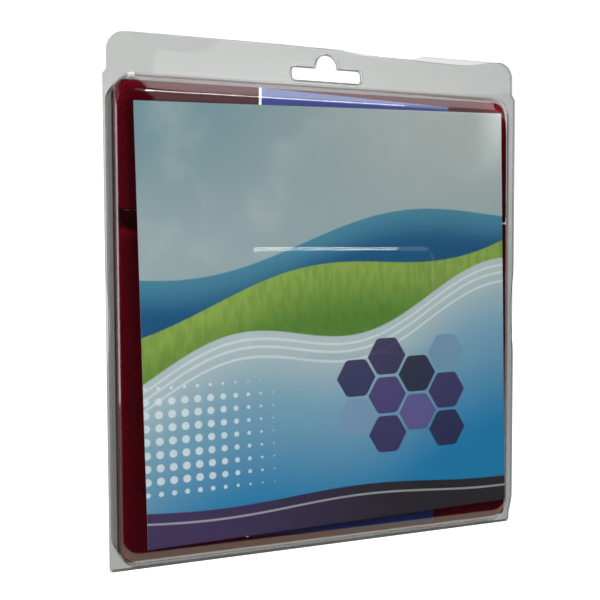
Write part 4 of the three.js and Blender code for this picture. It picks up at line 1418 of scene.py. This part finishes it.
CAMERA_PLACE = (-0.15218, -0.36021, 0.12282)
CAMERA_AZIMUTH = -21.73
CAMERA_ELEVATION = 2.99
CAMERA_ROLL = -0.22
CAMERA_LENS = 55.59
CAMERA_SENSOR = 36.0
CAMERA_NEAR = 0.01
FLOOR_LEVEL = -212.0
FLOOR_FRONT = -900.0
FLOOR_BEND_FROM = 1100.0
FLOOR_BEND = 500.0
FLOOR_BEND_STEPS = 13
FLOOR_HEIGHT = 2400.0
FLOOR_HALF = 2500.0
FLOOR_PAINT = (0.12, 0.12, 0.12, 1.0)
FLOOR_GLOW = 0.92
# Painted shade: how far the floor darkens where it is seen through the film, and the heights in metres over
# which that grows
FLOOR_PAINTED_SHADE = 0.48
FLOOR_SHADE_RISE = (0.5, -0.25)
CORNER_LAMP_AIM = (90.0, -8.0, 193.5)
CORNER_LAMP_PLACE = (285.0, -208.0, 708.0)
CORNER_LAMP_ANGLE = 1.9
CORNER_LAMP_BLEND = 0.6
CORNER_LAMP_SIZE = 0.01
CORNER_LAMP_POWER = 220.0
WORLD_TOP = 0.7
WORLD_SIDE = 0.55
WORLD_BACK = 0.2
WORLD_BACK_LEFT = 0.8
WORLD_FRONT = 0.04
WORLD_BELOW = 1.3
WORLD_BELOW_COLOUR = (1.0, 0.86, 0.7, 1.0)

# Ranges of the parts of a direction over which the surroundings change
UPWARD = (0.2, 0.8)
LEFTWARD = (-0.02, -0.15)
BACKWARD = (0.0, 0.6)
DOWNWARD = (-0.4, -0.7)
DARK_FORWARD = (-0.1, -0.5)
DARK_LEFT_END = (-0.55, -0.25)
DARK_RIGHT_END = (0.8, 0.66)
DARK_TOP_END = (0.9, 0.75)

# Name, azimuths, elevations, distance in metres, radiance, and whether the film mirrors it
LIGHTS = (
    ("key_light", (-75, -35), (35, 65), 1.3, 44.0, False),
    ("chamfer_softbox", (12.0, 42.6), (28, 58), 3.0, 2.3, True),
    ("ceiling_panel", (-30, 30), (58, 96), 1.6, 4.0, True),
    ("low_veil", (10.9, 42.6), (11, 28), 3.1, 0.7, True),
    ("line_strip", (11.6, 30), (19, 21.5), 3.0, 16.0, True),
    ("line_glint", (11.3, 11.9), (19, 21.5), 2.9, 45.0, True),
    ("left_panel", (-138, -99), (-10, 35), 2.0, 3.0, True),
    ("back_light", (150, 230), (20, 65), 1.4, 14.0, False),
    ("right_panel", (60, 110), (15, 60), 1.5, 12.0, False),
)


def add_object(data, place, right, up, back):
    """Adds a camera or a light at a place, turned to three directions."""
    thing = bpy.data.objects.new(data.name, data)
    bpy.context.scene.collection.objects.link(thing)
    turned = Matrix(np.stack([right, up, back], 1).tolist()).to_4x4()
    thing.matrix_world = Matrix.Translation(tuple(place)) @ turned
    return thing


def make_camera():
    """Camera at the photograph's place, with its axes worked out from azimuth, elevation and roll."""
    a, e, r = (math.radians(value) for value in (CAMERA_AZIMUTH, CAMERA_ELEVATION, CAMERA_ROLL))
    ahead = np.array([-math.sin(a) * math.cos(e), math.cos(a) * math.cos(e), -math.sin(e)])
    level = np.array([math.cos(a), math.sin(a), 0.0])
    upright = np.cross(level, ahead)
    right = level * math.cos(r) + upright * math.sin(r)
    up = upright * math.cos(r) - level * math.sin(r)
    data = bpy.data.cameras.new("photo_camera")
    data.lens = CAMERA_LENS
    data.sensor_width = CAMERA_SENSOR
    data.clip_start = CAMERA_NEAR
    bpy.context.scene.camera = add_object(data, CAMERA_PLACE, right, up, -ahead)


def make_floor():
    """Pale studio sweep: a flat floor that turns up into a backdrop along a quarter circle. The pack hangs
    above it, with room for its open lid. Seen through the film it is greyer low down than beside the pack, a
    painted shade on the pack's lower parts."""
    material, tree = new_material("studio_white")
    height = axes(tree, put(tree, "ShaderNodeTexCoord").outputs["Object"])[2]
    path = put(tree, "ShaderNodeLightPath").outputs
    through = calc(tree, "MINIMUM", path["Transparent Depth"], path["Is Camera Ray"])
    paint = put(tree, "ShaderNodeBsdfDiffuse", {"Color": FLOOR_PAINT})
    glow = put(tree, "ShaderNodeEmission", {"Color": WHITE, "Strength": FLOOR_GLOW})
    both = put(tree, "ShaderNodeAddShader", {0: paint.outputs[0], 1: glow.outputs[0]})
    # Painted shade: seen through the film, the floor greys low down, standing for shade on the pack's lower
    # parts
    grey = through * FLOOR_PAINTED_SHADE * height.ease(*FLOOR_SHADE_RISE)
    show(tree, put(tree, "ShaderNodeMixShader", {0: grey, 1: both.outputs[0]}))
    turn = np.radians(np.linspace(0, 90, FLOOR_BEND_STEPS))
    wall = FLOOR_BEND_FROM + FLOOR_BEND
    y = np.concatenate([[FLOOR_FRONT], FLOOR_BEND_FROM + FLOOR_BEND * np.sin(turn), [wall]])
    z = FLOOR_LEVEL + np.concatenate([[0], FLOOR_BEND * (1 - np.cos(turn)), [FLOOR_HEIGHT]])
    x = np.array([-FLOOR_HALF, FLOOR_HALF])
    points = np.stack(np.broadcast_arrays(x, y[:, None], z[:, None]), -1).reshape(-1, 3)
    faces = grid_faces(len(y), len(x))
    mesh = bpy.data.meshes.new("studio_floor")
    mesh.from_pydata((points * MM).tolist(), [], faces.tolist())
    mesh.polygons.foreach_set("use_smooth", np.ones(len(faces), bool))
    mesh.materials.append(material)
    floor = bpy.data.objects.new("studio_floor", mesh)
    bpy.context.scene.collection.objects.link(floor)
    floor.visible_glossy = False


def aim_light(data, place, out, mirrored):
    """Places a light with its back in the out direction. The camera doesn't see it, and the film shows it as
    a reflection only where it is mirrored."""
    side = np.cross(Z_AXIS, out)
    side = side / np.linalg.norm(side)
    light = add_object(data, place, side, np.cross(out, side), out)
    light.visible_camera = False
    light.visible_glossy = mirrored


def add_light(name, azimuths, elevations, distance, radiance, mirrored):
    """Area light that faces the pack's middle and fills a range of azimuths, where 0 is the front and 90 the
    right, and of elevations."""
    a, e = (math.radians(sum(span) / 2) for span in (azimuths, elevations))
    wide, high = (math.radians(max(span) - min(span)) / 2 for span in (azimuths, elevations))
    out = np.array([math.sin(a) * math.cos(e), -math.cos(a) * math.cos(e), math.sin(e)])
    data = bpy.data.lights.new(name, "AREA")
    data.shape = "RECTANGLE"
    data.size = 2 * distance * math.tan(wide) * math.cos(e)
    data.size_y = 2 * distance * math.tan(high)
    data.energy = radiance * math.pi * data.size * data.size_y
    aim_light(data, pack_top * MM / 2 * Z_AXIS + out * distance, out, mirrored)


def add_corner_lamp():
    """Narrow lamp from above on the wallet's top right corner."""
    data = bpy.data.lights.new("corner_lamp", "SPOT")
    data.spot_size = math.radians(CORNER_LAMP_ANGLE)
    data.spot_blend = CORNER_LAMP_BLEND
    data.shadow_soft_size = CORNER_LAMP_SIZE
    data.energy = CORNER_LAMP_POWER
    place = np.array(CORNER_LAMP_PLACE) * MM
    out = place - np.array(CORNER_LAMP_AIM) * MM
    aim_light(data, place, out / np.linalg.norm(out), False)


def make_world():
    """Studio surroundings by direction: bright above, warm below, and dark low in front, where the flat
    window mirrors them. The camera sees them plain white."""
    world = bpy.data.worlds.new("studio")
    world.use_nodes = True
    tree = world.node_tree
    tree.nodes.clear()
    x, y, z = axes(tree, put(tree, "ShaderNodeTexCoord").outputs["Generated"])
    seen = Value(tree, put(tree, "ShaderNodeLightPath").outputs["Is Camera Ray"])
    rear = x.ease(*LEFTWARD).between(WORLD_BACK, WORLD_BACK_LEFT)
    level = y.ease(*BACKWARD).between(z.ease(*UPWARD).between(WORLD_SIDE, WORLD_TOP), rear)
    dark = y.ease(*DARK_FORWARD) * x.ease(*DARK_LEFT_END) * x.ease(*DARK_RIGHT_END) * z.ease(*DARK_TOP_END)
    below = z.ease(*DOWNWARD)
    strength = below.between(level * dark.between(1.0, WORLD_FRONT), WORLD_BELOW)
    colour = (below * (1.0 - seen)).mix(WHITE, WORLD_BELOW_COLOUR)
    glow = put(tree, "ShaderNodeBackground", {"Color": colour, "Strength": seen.between(strength, 1.0)})
    show(tree, glow, "World")
    bpy.context.scene.world = world


make_camera()
make_floor()
make_world()
for light in LIGHTS:
    add_light(*light)
add_corner_lamp()
bpy.context.scene.view_settings.view_transform = "Standard"
bpy.context.scene.cycles.transparent_max_bounces = 32
